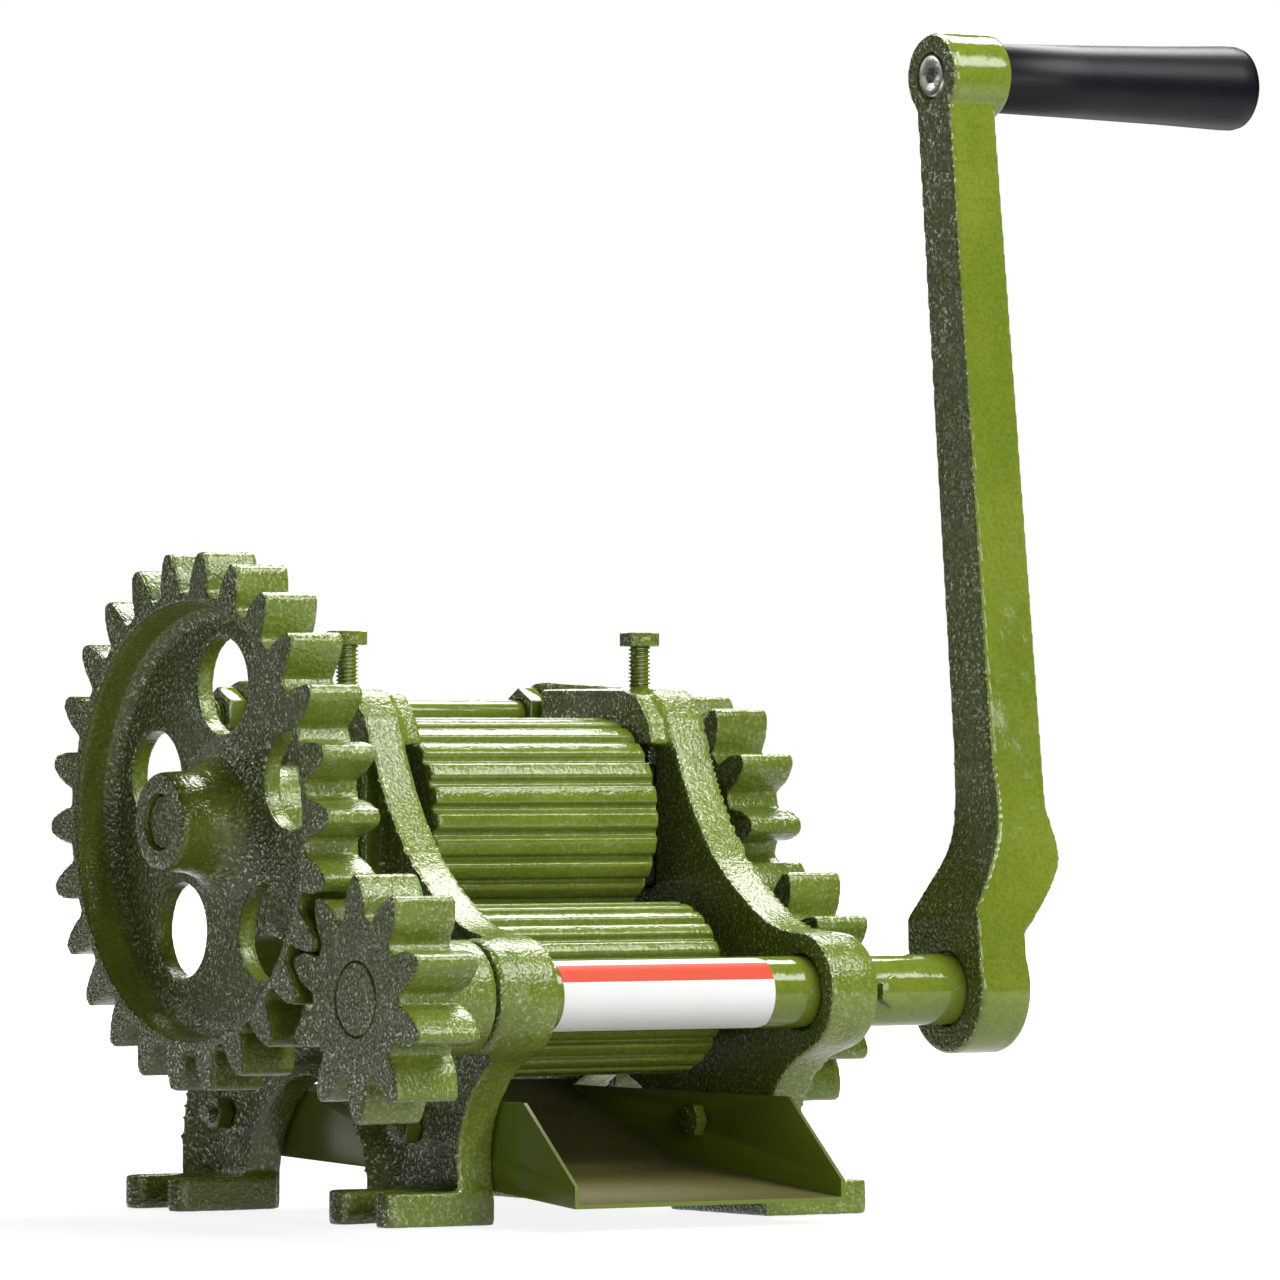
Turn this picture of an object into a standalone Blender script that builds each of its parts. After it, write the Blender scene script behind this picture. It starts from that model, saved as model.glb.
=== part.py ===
"""A hand-cranked cane mill: three fluted rollers between two cast side frames.

X runs along the rollers, towards the crank. -Y is the front, with the drive shaft and the mouth of
the juice tray. Z is up, and the feet stand on Z = 0. Shapes are worked out about the middle of the
rollers; at the end the whole mill moves so that the middle of its footprint is the origin.
"""

import math

import bmesh
import bpy
from mathutils import Matrix, Vector

MM = 0.001
GAP = 0.3 * MM  # between pieces that touch
RUN = 0.8 * MM  # beside a face that turns
REACH = 2 * MM  # how far a cutter passes the surface it opens
ROUND_SIDES = 24
SMALL_SIDES = 12

# Gears.
MODULE = 7 * MM
PRESSURE = math.radians(25)
ADDENDUM = 0.88
DEDENDUM = 1.16
BACKLASH = 1.2 * MM
GEAR_TEETH = 26
PINION_TEETH = 10
ROLLER_TEETH = 11
PROFILE_SHIFT = 0.27
GEAR_PHASE = math.radians(-1.4)
ROLLER_GEAR_PHASE = math.radians(85)
TIP_ROUND = 0.8 * MM
MESH_LEAN = 0.45 * MM  # how far the pinion's teeth stand above the middle of the gear's spaces
ROLLER_GEARS_APART = 8.3 * MM  # between the tips of the front and rear roller gears

# Rollers and their shafts.
ROLLER_LENGTH = 95 * MM
TOP_RADIUS = 36.5 * MM
LOWER_RADIUS = 30.5 * MM
FLUTES = 24
FLUTE_DEPTH = 2.6 * MM
FLUTE_SHARE = 0.36
TOP_SHAFT_RADIUS = 12.5 * MM
GEAR_SEAT_RADIUS = TOP_SHAFT_RADIUS - 3 * MM
LOWER_SHAFT_RADIUS = 11 * MM
DRIVE_SHAFT_RADIUS = 12.7 * MM
SHAFT_PAST_GEAR = 2.5 * MM
SHAFT_RECESS = 2 * MM

# Where the axes stand, as (Y, Z). Equal gears join the top roller to the lower two.
LOWER_HEIGHT = 80.44 * MM
LOWER_SPREAD = MODULE * (ROLLER_TEETH / 2 + ADDENDUM) + ROLLER_GEARS_APART / 2
ROLLERS_RISE = math.sqrt((MODULE * ROLLER_TEETH) ** 2 - LOWER_SPREAD**2)
TOP_AXIS = (0.0, LOWER_HEIGHT + ROLLERS_RISE)
FRONT_AXIS = (-LOWER_SPREAD, LOWER_HEIGHT)
REAR_AXIS = (LOWER_SPREAD, LOWER_HEIGHT)
DRIVE_ANGLE = math.radians(208.4)
DRIVE_DISTANCE = MODULE * (GEAR_TEETH + PINION_TEETH) / 2
DRIVE_AXIS = (
    TOP_AXIS[0] + DRIVE_DISTANCE * math.cos(DRIVE_ANGLE),
    TOP_AXIS[1] + DRIVE_DISTANCE * math.sin(DRIVE_ANGLE),
)

# Side frames.
ROLLER_SIDE = 9 * MM  # from a roller's end to the frame's plate
INNER = ROLLER_LENGTH / 2 + ROLLER_SIDE
WEB = 7 * MM
RIM_WIDTH = 16 * MM
RIM = 8 * MM
OUTER = INNER + RIM_WIDTH
SOLE = 12 * MM
FOOT_REACH = 45.5 * MM
FRONT_FOOT = (-90 * MM, -49 * MM)
REAR_FOOT = (51 * MM, 91 * MM)
PRONG = 10.5 * MM
SLOT_DEPTH = 24 * MM
ARCH_CENTRE = (13 * MM, 8 * MM)
ARCH_RADIUS = 41 * MM
DRIVE_BOSS_RADIUS = DRIVE_SHAFT_RADIUS + 8.3 * MM
DRIVE_BOSS_OUT = {1: RIM_WIDTH + 5 * MM, -1: RIM_WIDTH + 8.5 * MM}
LOWER_BOSS_RADIUS = LOWER_SHAFT_RADIUS + 7 * MM
LOWER_BOSS_OUT = RIM_WIDTH + 6.5 * MM
BOSS_SINK = 0.5 * MM  # a boss is this much slimmer than the rim round it

# Top bearings, which slide in a window of each frame under an adjusting bolt.
WINDOW_HALF = TOP_SHAFT_RADIUS + 5.5 * MM
WINDOW_BELOW = TOP_SHAFT_RADIUS + 11.5 * MM
BLOCK_ABOVE = TOP_SHAFT_RADIUS + 7.5 * MM
BLOCK_LIFT = 7 * MM  # room over a bearing block
BLOCK_OUT = RIM_WIDTH + 3.5 * MM
WINDOW_TOP = TOP_AXIS[1] + BLOCK_ABOVE + BLOCK_LIFT
CROWN_IN = ROLLER_SIDE - RUN
CROWN_TOP = WINDOW_TOP + 21 * MM
ADJUSTER_RADIUS = 7.9 * MM / 2
ADJUSTER_HEAD_FLATS = 12.6 * MM
ADJUSTER_HEAD = 5 * MM
ADJUSTER_SHOWING = 14.5 * MM

# Tie rod, behind the top roller.
TIE_RADIUS = 5.5 * MM
TIE_AXIS = (TOP_RADIUS + 20.5 * MM, CROWN_TOP - 10 * MM)
TIE_BOSS_RADIUS = TIE_RADIUS + 6.5 * MM
TIE_BOSS_IN = 2.3 * MM
TIE_BOSS_OUT = RIM_WIDTH + 1.5 * MM
TIE_NUT_FLATS = 2 * TIE_RADIUS + 6 * MM
TIE_NUT = 7.5 * MM
TIE_PAST = 6 * MM

# Where the wheels stand along X.
ROLLER_GEAR_START = INNER + LOWER_BOSS_OUT + 2 * MM
ROLLER_GEAR_WIDTH = 22 * MM
PINION_COLLAR = 20.2 * MM
PINION_COLLAR_RADIUS = DRIVE_SHAFT_RADIUS + 7.3 * MM
PINION_WIDTH = 25.3 * MM
PINION_BACK = -(INNER + DRIVE_BOSS_OUT[-1]) - RUN - PINION_COLLAR
PINION_FACE = PINION_BACK - PINION_WIDTH
GEAR_WIDTH = 21.5 * MM
GEAR_BACK = PINION_BACK - 5 * MM
GEAR_FACE = GEAR_BACK - GEAR_WIDTH

# Drive gear and keys.
GEAR_WEB = 7 * MM
DISH_RADIUS = MODULE * (GEAR_TEETH / 2 - DEDENDUM - PROFILE_SHIFT) - 5 * MM
DISH_DRAFT = 2 * MM
HUB_NOSE_RADIUS = GEAR_SEAT_RADIUS + 8 * MM
HUB_FOOT_RADIUS = HUB_NOSE_RADIUS + 6 * MM
HUB_NOSE = 11.5 * MM
HUB_BACK_RADIUS = GEAR_SEAT_RADIUS + 10.5 * MM
GEAR_HOLES = 5
HOLE_FROM_HUB = 7.5 * MM
HOLE_FROM_RIM = 11 * MM
GEAR_HOLE_RADIUS = (DISH_RADIUS - HOLE_FROM_RIM - HUB_FOOT_RADIUS - HOLE_FROM_HUB) / 2
GEAR_HOLE_CIRCLE = HUB_FOOT_RADIUS + HOLE_FROM_HUB + GEAR_HOLE_RADIUS
KEY = 6 * MM
KEY_BLIND = 6 * MM

# Crank.
CRANK_FACE = ROLLER_GEAR_START + ROLLER_GEAR_WIDTH + SHAFT_PAST_GEAR + 14 * MM
CRANK_HUB_RADIUS = DRIVE_SHAFT_RADIUS + 10.3 * MM
CRANK_HUB_WIDTH = 22 * MM
CRANK_RADIUS = 329.5 * MM
CRANK_LEAN = math.radians(5.9)
ARM_OFFSET = 17.5 * MM
ARM_THICK = 20 * MM
ARM_FOOT_WIDTH = 2 * CRANK_HUB_RADIUS - 8 * MM
ARM_WIDTH = 23 * MM
ARM_TOP_WIDTH = 20 * MM
ARM_FOOT_END = 60 * MM  # above the drive axis, where the foot has narrowed to the arm
GRIP_LENGTH = 112 * MM
GRIP_RADII = (12.5 * MM, 15.5 * MM)
GRIP_BOLT_RADIUS = 5 * MM
GRIP_HEAD_RADIUS = GRIP_BOLT_RADIUS + 3 * MM
GRIP_HEAD = 5 * MM
GRIP_SOCKET = 5.5 * MM
GRIP_SOCKET_DEPTH = 3.5 * MM
GRIP_NUT_FLATS = 2 * GRIP_BOLT_RADIUS + 5 * MM
GRIP_NUT = 6 * MM
GRIP_POCKET = GRIP_NUT + 2 * MM
EYE_RADIUS = GRIP_HEAD_RADIUS + 7.5 * MM
EYE_WIDTH = 26 * MM
STOP_BOLT_X = INNER + DRIVE_BOSS_OUT[1] + 9 * MM
STOP_BOLT_RADIUS = 3 * MM
STOP_BOLT_FLATS = 10 * MM
STOP_BOLT_HEAD = 3 * MM
STOP_BOLT_DEPTH = 9 * MM

# Tray and its fasteners.
SHEET = 1.5 * MM
TRAY_LIP = (-140 * MM, 9 * MM)
TRAY_BEND = (-37 * MM, 19 * MM)
TRAY_REAR = (43 * MM, LOWER_HEIGHT - LOWER_RADIUS - 5 * MM)
TRAY_END = 90 * MM
TRAY_END_LOW = 20 * MM
TRAY_LIP_SIDE = 6 * MM
TRAY_WALL_TOP = 43 * MM
TRAY_SHOULDER = -107 * MM
TRAY_BOLTS = ((-50 * MM, 33 * MM), (78 * MM, 34 * MM))
TRAY_BOLT_RADIUS = 3.2 * MM
TRAY_BOLT_FLATS = 2 * TRAY_BOLT_RADIUS + 4.6 * MM
TRAY_BOLT_HEAD = 4.2 * MM
TRAY_NUT = 5.5 * MM
TRAY_BOLT_PAST = 3.5 * MM
TRAY_PAD = 2 * MM  # the raised seat of a tray nut, over the web
LABEL_X = (-INNER + 6.5 * MM, INNER - 18.5 * MM)
LABEL_THICK = 0.4 * MM
LABEL_HALF_WRAP = math.radians(84)


# --- plain shapes, made as bmeshes in mill coordinates ---


def arc(centre, radius, start, end, steps):
    """Points on an arc from angle start to angle end, in degrees, both ends included."""
    angles = [math.radians(start + (end - start) * i / steps) for i in range(steps + 1)]
    return [(centre[0] + radius * math.cos(a), centre[1] + radius * math.sin(a)) for a in angles]


def smooth(points, steps):
    """A Catmull-Rom curve through the points, which must be at least two."""
    knots = [Vector(p) for p in points]
    knots = [2 * knots[0] - knots[1]] + knots + [2 * knots[-1] - knots[-2]]
    curve = []
    for a, b, c, d in zip(knots, knots[1:], knots[2:], knots[3:]):
        for i in range(steps):
            t = i / steps
            bend = 2 * a - 5 * b + 4 * c - d
            twist = 3 * b - 3 * c + d - a
            curve.append(tuple((2 * b + (c - a) * t + bend * t**2 + twist * t**3) / 2))
    return curve + [tuple(knots[-2])]


def prism(outline, start, end, axis="X"):
    """A solid from a closed outline, counter-clockwise as seen from the positive end of the axis."""
    low, high = sorted((start, end))
    turn = {
        "X": Matrix(((0, 0, 1), (1, 0, 0), (0, 1, 0))),
        "Z": Matrix.Identity(3),
    }[axis]
    bm = bmesh.new()
    base = bm.faces.new([bm.verts.new(turn @ Vector((a, b, low))) for a, b in outline])
    raised = bmesh.ops.extrude_face_region(bm, geom=[base])["geom"]
    lift = turn @ Vector((0, 0, high - low))
    bmesh.ops.translate(bm, verts=[g for g in raised if isinstance(g, bmesh.types.BMVert)], vec=lift)
    bmesh.ops.recalc_face_normals(bm, faces=bm.faces)
    return bm


def box(low, high):
    x0, y0, z0 = low
    x1, y1, z1 = high
    return prism([(y0, z0), (y1, z0), (y1, z1), (y0, z1)], x0, x1)


def turned(profile, axis=(0, 0), sides=ROUND_SIDES, ring=False):
    """An (x, radius) profile spun round a line along X at (y, z): capped, or joined up as a ring."""
    bm = bmesh.new()
    turns = [2 * math.pi * i / sides for i in range(sides)]
    loops = [
        [bm.verts.new((x, axis[0] + r * math.cos(t), axis[1] + r * math.sin(t))) for t in turns]
        for x, r in profile
    ]
    pairs = list(zip(loops, loops[1:]))
    if ring:
        pairs.append((loops[-1], loops[0]))
    else:
        bm.faces.new(loops[0])
        bm.faces.new(loops[-1])
    for near, far in pairs:
        for i in range(sides):
            j = (i + 1) % sides
            bm.faces.new((near[i], near[j], far[j], far[i]))
    bmesh.ops.recalc_face_normals(bm, faces=bm.faces)
    return bm


def rod(start, end, radius, axis, sides=ROUND_SIDES):
    low, high = sorted((start, end))
    return turned([(low, radius), (high, radius)], axis, sides)


def hexagon(start, end, flats, axis, turn=0.0):
    """A six-sided bar along X, with `flats` across its flats."""
    radius = flats / math.sqrt(3)
    corners = [turn + math.radians(60 * i) for i in range(6)]
    return prism(
        [(axis[0] + radius * math.cos(a), axis[1] + radius * math.sin(a)) for a in corners], start, end
    )


def stand_up(bm, place):
    """Turn a shape made along X at the origin to point along +Z, and move it to place."""
    bmesh.ops.transform(bm, matrix=Matrix.Rotation(-math.pi / 2, 4, "Y"), verts=bm.verts)
    bmesh.ops.translate(bm, vec=Vector(place), verts=bm.verts)
    return bm


# --- objects ---


def material(name, colour, roughness, metallic=0.0):
    made = bpy.data.materials.new(name)
    made.use_nodes = True
    made.diffuse_color = (*colour, 1)
    surface = made.node_tree.nodes["Principled BSDF"]
    surface.inputs["Base Color"].default_value = (*colour, 1)
    surface.inputs["Roughness"].default_value = roughness
    surface.inputs["Metallic"].default_value = metallic
    return made


def helper(bm, name):
    """A hidden object that a Boolean reads."""
    mesh = bpy.data.meshes.new(name)
    bm.to_mesh(mesh)
    bm.free()
    made = bpy.data.objects.new(name, mesh)
    made.hide_render = True
    made.display_type = "WIRE"
    bpy.context.scene.collection.objects.link(made)
    return made


class Piece:
    """One sub-part: a base shape, then shapes joined to it or cut from it in turn."""

    def __init__(self, name, base, finish, origin=(0, 0, 0)):
        place = Vector(origin)
        bmesh.ops.translate(base, vec=-place, verts=base.verts)
        mesh = bpy.data.meshes.new(name)
        base.to_mesh(mesh)
        base.free()
        mesh.materials.append(finish)
        self.place = place
        self.object = bpy.data.objects.new(name, mesh)
        self.object.location = place
        self.object.parent = MILL
        bpy.context.scene.collection.objects.link(self.object)

    def _boolean(self, operation, shapes):
        for bm in shapes:
            bmesh.ops.translate(bm, vec=-self.place, verts=bm.verts)
            tool = helper(bm, f"{self.object.name}_{operation.lower()}")
            tool.parent = self.object
            modifier = self.object.modifiers.new(operation.title(), "BOOLEAN")
            modifier.operation = operation
            modifier.object = tool
            modifier.solver = "EXACT"
        return self

    def join(self, *shapes):
        return self._boolean("UNION", shapes)

    def cut(self, *shapes):
        return self._boolean("DIFFERENCE", shapes)

    def shade(self, degrees=35):
        self.object.data.shade_smooth()
        self.object.data.set_sharp_from_angle(angle=math.radians(degrees))
        return self


# --- gears ---


def involute(angle):
    return math.tan(angle) - angle


def gear_outline(teeth, shift, phase, axis):
    """An involute gear about the axis, with the middle of one tooth at angle phase."""
    pitch = MODULE * teeth / 2
    base = pitch * math.cos(PRESSURE)
    root = pitch - (DEDENDUM - shift) * MODULE
    tip = pitch + (ADDENDUM + shift) * MODULE
    half = (math.pi / 2 + 2 * shift * math.tan(PRESSURE)) / teeth - BACKLASH / (4 * pitch)

    def flank(radius):
        lean = math.acos(min(1.0, base / radius))
        return half + involute(PRESSURE) - involute(lean)

    start = max(base, root + TIP_ROUND)
    radii = [start + (tip - TIP_ROUND - start) * share for share in (0, 0.4, 1)]
    side = [(root, flank(start) + TIP_ROUND / root)]
    side += [(radius, flank(radius)) for radius in radii]
    side += [(tip, flank(tip) - TIP_ROUND / tip)]
    points = []
    for i in range(teeth):
        middle = phase + 2 * math.pi * i / teeth
        points += [(radius, middle - angle) for radius, angle in side]
        points += [(radius, middle + angle) for radius, angle in reversed(side)]
    return [(axis[0] + r * math.cos(a), axis[1] + r * math.sin(a)) for r, a in points]


def meshing_phase(phase, teeth, axis, other_teeth, other_axis):
    """The phase of a second gear whose space meets a tooth of the first on their line of centres."""
    line = math.atan2(other_axis[1] - axis[1], other_axis[0] - axis[0])
    return line + math.pi - (phase - line) * teeth / other_teeth + math.pi / other_teeth


def key_bar(start, end, radius, axis, clearance=0.0):
    """A square key on the top of a shaft, half in it, grown by clearance for its keyway."""
    half = KEY / 2 + clearance
    low = axis[1] + radius - KEY / 2 - clearance
    high = axis[1] + radius + KEY / 2 + clearance
    return box((start - clearance, axis[0] - half, low), (end + clearance, axis[0] + half, high))


def add_key(name, start, end, radius, axis, wheel, shaft, wheel_end):
    """Key a wheel to its shaft; the wheel's keyway runs out at wheel_end, its hidden side."""
    Piece(name, key_bar(start, end, radius, axis), STEEL, (start, *axis))
    shaft.cut(key_bar(start, end, radius, axis, GAP))
    runs = sorted((wheel_end, start, end))
    wheel.cut(key_bar(runs[0], runs[-1], radius, axis, GAP))


def drive_gear():
    outline = gear_outline(GEAR_TEETH, -PROFILE_SHIFT, GEAR_PHASE, TOP_AXIS)
    web_face = GEAR_BACK - GEAR_WEB
    inside_hub = HUB_NOSE_RADIUS - 4 * MM
    dish = [
        (GEAR_FACE - REACH, inside_hub),
        (GEAR_FACE - REACH, DISH_RADIUS + DISH_DRAFT),
        (web_face, DISH_RADIUS),
        (web_face, inside_hub),
    ]
    nose = GEAR_FACE - HUB_NOSE
    hub_back = -(INNER + BLOCK_OUT) - RUN
    hub = [
        (nose, HUB_NOSE_RADIUS - MM),
        (nose + MM, HUB_NOSE_RADIUS),
        (GEAR_FACE, HUB_NOSE_RADIUS + MM),
        (web_face - 4 * MM, HUB_FOOT_RADIUS),
        (web_face + MM, HUB_FOOT_RADIUS + 4 * MM),
        (GEAR_BACK - MM, HUB_FOOT_RADIUS),
        (GEAR_BACK + 2 * MM, HUB_BACK_RADIUS),
        (hub_back, HUB_BACK_RADIUS),
    ]
    holes = []
    for i in range(GEAR_HOLES):
        angle = math.pi / 2 + 2 * math.pi * i / GEAR_HOLES
        centre = (
            TOP_AXIS[0] + GEAR_HOLE_CIRCLE * math.cos(angle),
            TOP_AXIS[1] + GEAR_HOLE_CIRCLE * math.sin(angle),
        )
        holes.append(rod(web_face - REACH, GEAR_BACK + REACH, GEAR_HOLE_RADIUS, centre))
    gear = Piece("drive_gear", prism(outline, GEAR_FACE, GEAR_BACK), PAINT, (GEAR_BACK, *TOP_AXIS))
    gear.cut(turned(dish, TOP_AXIS, 48, ring=True), *holes).join(turned(hub, TOP_AXIS))
    gear.cut(rod(nose - REACH, hub_back + REACH, GEAR_SEAT_RADIUS + GAP, TOP_AXIS))
    return gear.shade()


def drive_pinion():
    phase = meshing_phase(GEAR_PHASE, GEAR_TEETH, TOP_AXIS, PINION_TEETH, DRIVE_AXIS)
    phase += MESH_LEAN / (MODULE * PINION_TEETH / 2)
    outline = gear_outline(PINION_TEETH, PROFILE_SHIFT, phase, DRIVE_AXIS)
    collar_end = PINION_BACK + PINION_COLLAR
    teeth = prism(outline, PINION_FACE, PINION_BACK)
    pinion = Piece("drive_pinion", teeth, PAINT, (PINION_BACK, *DRIVE_AXIS))
    pinion.join(rod(PINION_BACK - REACH, collar_end, PINION_COLLAR_RADIUS, DRIVE_AXIS))
    pinion.cut(rod(PINION_FACE - REACH, collar_end + REACH, DRIVE_SHAFT_RADIUS + GAP, DRIVE_AXIS))
    return pinion.shade()


def roller_gear(name, phase, axis, bore):
    end = ROLLER_GEAR_START + ROLLER_GEAR_WIDTH
    outline = gear_outline(ROLLER_TEETH, 0, phase, axis)
    gear = Piece(name, prism(outline, ROLLER_GEAR_START, end), PAINT, (ROLLER_GEAR_START, *axis))
    gear.cut(rod(ROLLER_GEAR_START - REACH, end + REACH, bore + GAP, axis))
    return gear.shade()


# --- rollers and shafts ---


def roller_outline(radius, axis):
    """Flat-topped ribs with narrow round-cornered grooves between them."""
    groove = FLUTE_SHARE * math.pi / FLUTES
    shape = [(-groove, radius), (-0.45 * groove, radius - FLUTE_DEPTH)]
    shape += [(0.45 * groove, radius - FLUTE_DEPTH), (groove, radius)]
    points = []
    for i in range(FLUTES):
        middle = 2 * math.pi * (i + 0.5) / FLUTES
        points += [(r, middle + a) for a, r in shape]
    return [(axis[0] + r * math.cos(a), axis[1] + r * math.sin(a)) for r, a in points]


def roller(name, radius, axis, bore):
    half = ROLLER_LENGTH / 2
    made = Piece(name, prism(roller_outline(radius, axis), -half, half), PAINT, (-half, *axis))
    made.cut(rod(-half - REACH, half + REACH, bore + GAP, axis))
    return made.shade()


def shaft(name, steps, axis):
    """A stepped shaft from (x, radius) steps: each radius runs to its x, from the step before."""
    profile = []
    for (start, _), (end, radius) in zip(steps, steps[1:]):
        profile += [(start, radius), (end, radius)]
    return Piece(name, turned(profile, axis), STEEL, (steps[0][0], *axis)).shade()


def rollers_and_gears():
    half = ROLLER_LENGTH / 2
    gear_end = ROLLER_GEAR_START + ROLLER_GEAR_WIDTH
    right_end = gear_end + SHAFT_PAST_GEAR
    left_end = GEAR_FACE - HUB_NOSE + SHAFT_RECESS
    bearing = INNER + BLOCK_OUT
    top_steps = [
        (left_end, 0),
        (-bearing, GEAR_SEAT_RADIUS),
        (bearing, TOP_SHAFT_RADIUS),
        (right_end, GEAR_SEAT_RADIUS),
    ]
    lower_left = -(INNER + LOWER_BOSS_OUT) - SHAFT_PAST_GEAR
    lower_steps = [(lower_left, 0), (right_end, LOWER_SHAFT_RADIUS)]
    key_start = ROLLER_GEAR_START + MM
    key_end = gear_end - KEY_BLIND
    places = (
        ("top", TOP_AXIS, TOP_RADIUS, TOP_SHAFT_RADIUS, GEAR_SEAT_RADIUS, top_steps),
        ("front", FRONT_AXIS, LOWER_RADIUS, LOWER_SHAFT_RADIUS, LOWER_SHAFT_RADIUS, lower_steps),
        ("rear", REAR_AXIS, LOWER_RADIUS, LOWER_SHAFT_RADIUS, LOWER_SHAFT_RADIUS, lower_steps),
    )
    shafts = {}
    for name, axis, radius, journal, seat, steps in places:
        shafts[name] = shaft(f"{name}_shaft", steps, axis)
        body = roller(f"{name}_roller", radius, axis, journal)
        add_key(f"{name}_roller_key", -KEY_BLIND, half - KEY_BLIND, journal, axis, body, shafts[name], half)
        phase = ROLLER_GEAR_PHASE
        if name != "top":
            phase = meshing_phase(ROLLER_GEAR_PHASE, ROLLER_TEETH, TOP_AXIS, ROLLER_TEETH, axis)
        wheel = roller_gear(f"{name}_roller_gear", phase, axis, seat)
        add_key(
            f"{name}_gear_key", key_start, key_end, seat, axis, wheel, shafts[name], ROLLER_GEAR_START
        )
    gear = drive_gear()
    add_key(
        "drive_gear_key",
        GEAR_FACE + KEY_BLIND,
        GEAR_BACK + KEY_BLIND,
        GEAR_SEAT_RADIUS,
        TOP_AXIS,
        gear,
        shafts["top"],
        -bearing,
    )


# --- side frames and what stands in them ---


def frame_outline():
    """The side frame from the front foot over the drive boss and the crown, and back by the arch."""

    def beside(place, y, z):
        return (place[0] + y * MM, place[1] + z * MM)

    toe = (FRONT_FOOT[0], 0.0)
    heel = (REAR_FOOT[1] + 9 * MM, 0.0)
    brow = (-WINDOW_HALF, CROWN_TOP)
    boss = arc(DRIVE_AXIS, DRIVE_BOSS_RADIUS, -52, -265, 10)
    front_leg = smooth([beside(toe, 0, 10), beside(toe, 0, 24), beside(toe, -3, 40), boss[0]], 3)
    throat = [boss[-1], beside(boss[-1], 16.6, 2), beside(boss[-1], 32.6, 9), beside(TOP_AXIS, -58, -14)]
    throat += [beside(TOP_AXIS, -42, 6), beside(brow, -15, -25), beside(brow, -9, -11)]
    crown = smooth([throat[-1], beside(brow, 0, -2), beside(brow, 12, 0)], 3)
    ear = arc(TIE_AXIS, TIE_BOSS_RADIUS, 100, 5, 6)
    rear = [ear[-1], beside(TIE_AXIS, 13, -28), beside(REAR_AXIS, 24.2, 44.6), beside(REAR_AXIS, 30.2, 16.6)]
    rear += [beside(REAR_AXIS, 39.2, -14.4), beside(heel, -3, 36), beside(heel, 0, 18)]
    arch = arc(ARCH_CENTRE, ARCH_RADIUS, 0, 180, 12)
    up = [beside(toe, 8, 0)] + front_leg[:-1] + boss[:-1] + smooth(throat, 2)[:-1] + crown + ear
    down = smooth(rear, 2)[1:] + [heel]
    legs = [(arch[0][0], 0.0)] + arch + [(arch[-1][0], 0.0)]
    return list(reversed(up + down + legs))


def foot_outline(side, span):
    """A foot seen from above: a base with two prongs pointing outwards and a slot between them."""
    start = INNER + WEB / 2
    reach = INNER + FOOT_REACH
    low, high = span
    round_end = PRONG / 2
    near = arc((reach - round_end, low + round_end), round_end, -90, 90, 6)
    far = arc((reach - round_end, high - round_end), round_end, -90, 90, 6)
    slot_radius = (high - low) / 2 - PRONG
    slot = arc((reach - SLOT_DEPTH, (low + high) / 2), slot_radius, 270, 90, 8)
    outline = [(start, low)] + near + slot + far + [(start, high)]
    outline = [(side * x, y) for x, y in outline]
    return outline if side > 0 else list(reversed(outline))


def framed_plate(side):
    """The frame's plate, with a pocket sunk in its outer face inside a rim."""
    bm = prism(frame_outline(), side * INNER, side * OUTER)
    outer = max(bm.faces, key=lambda face: side * face.calc_center_median().x)
    bmesh.ops.inset_region(bm, faces=[outer], thickness=RIM, use_even_offset=True)
    inward = Vector((-side * (RIM_WIDTH - WEB), 0, 0))
    outer = max(bm.faces, key=lambda face: side * face.calc_center_median().x * (len(face.verts) > 4))
    bmesh.ops.translate(bm, vec=inward, verts=outer.verts)
    return bm


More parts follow.
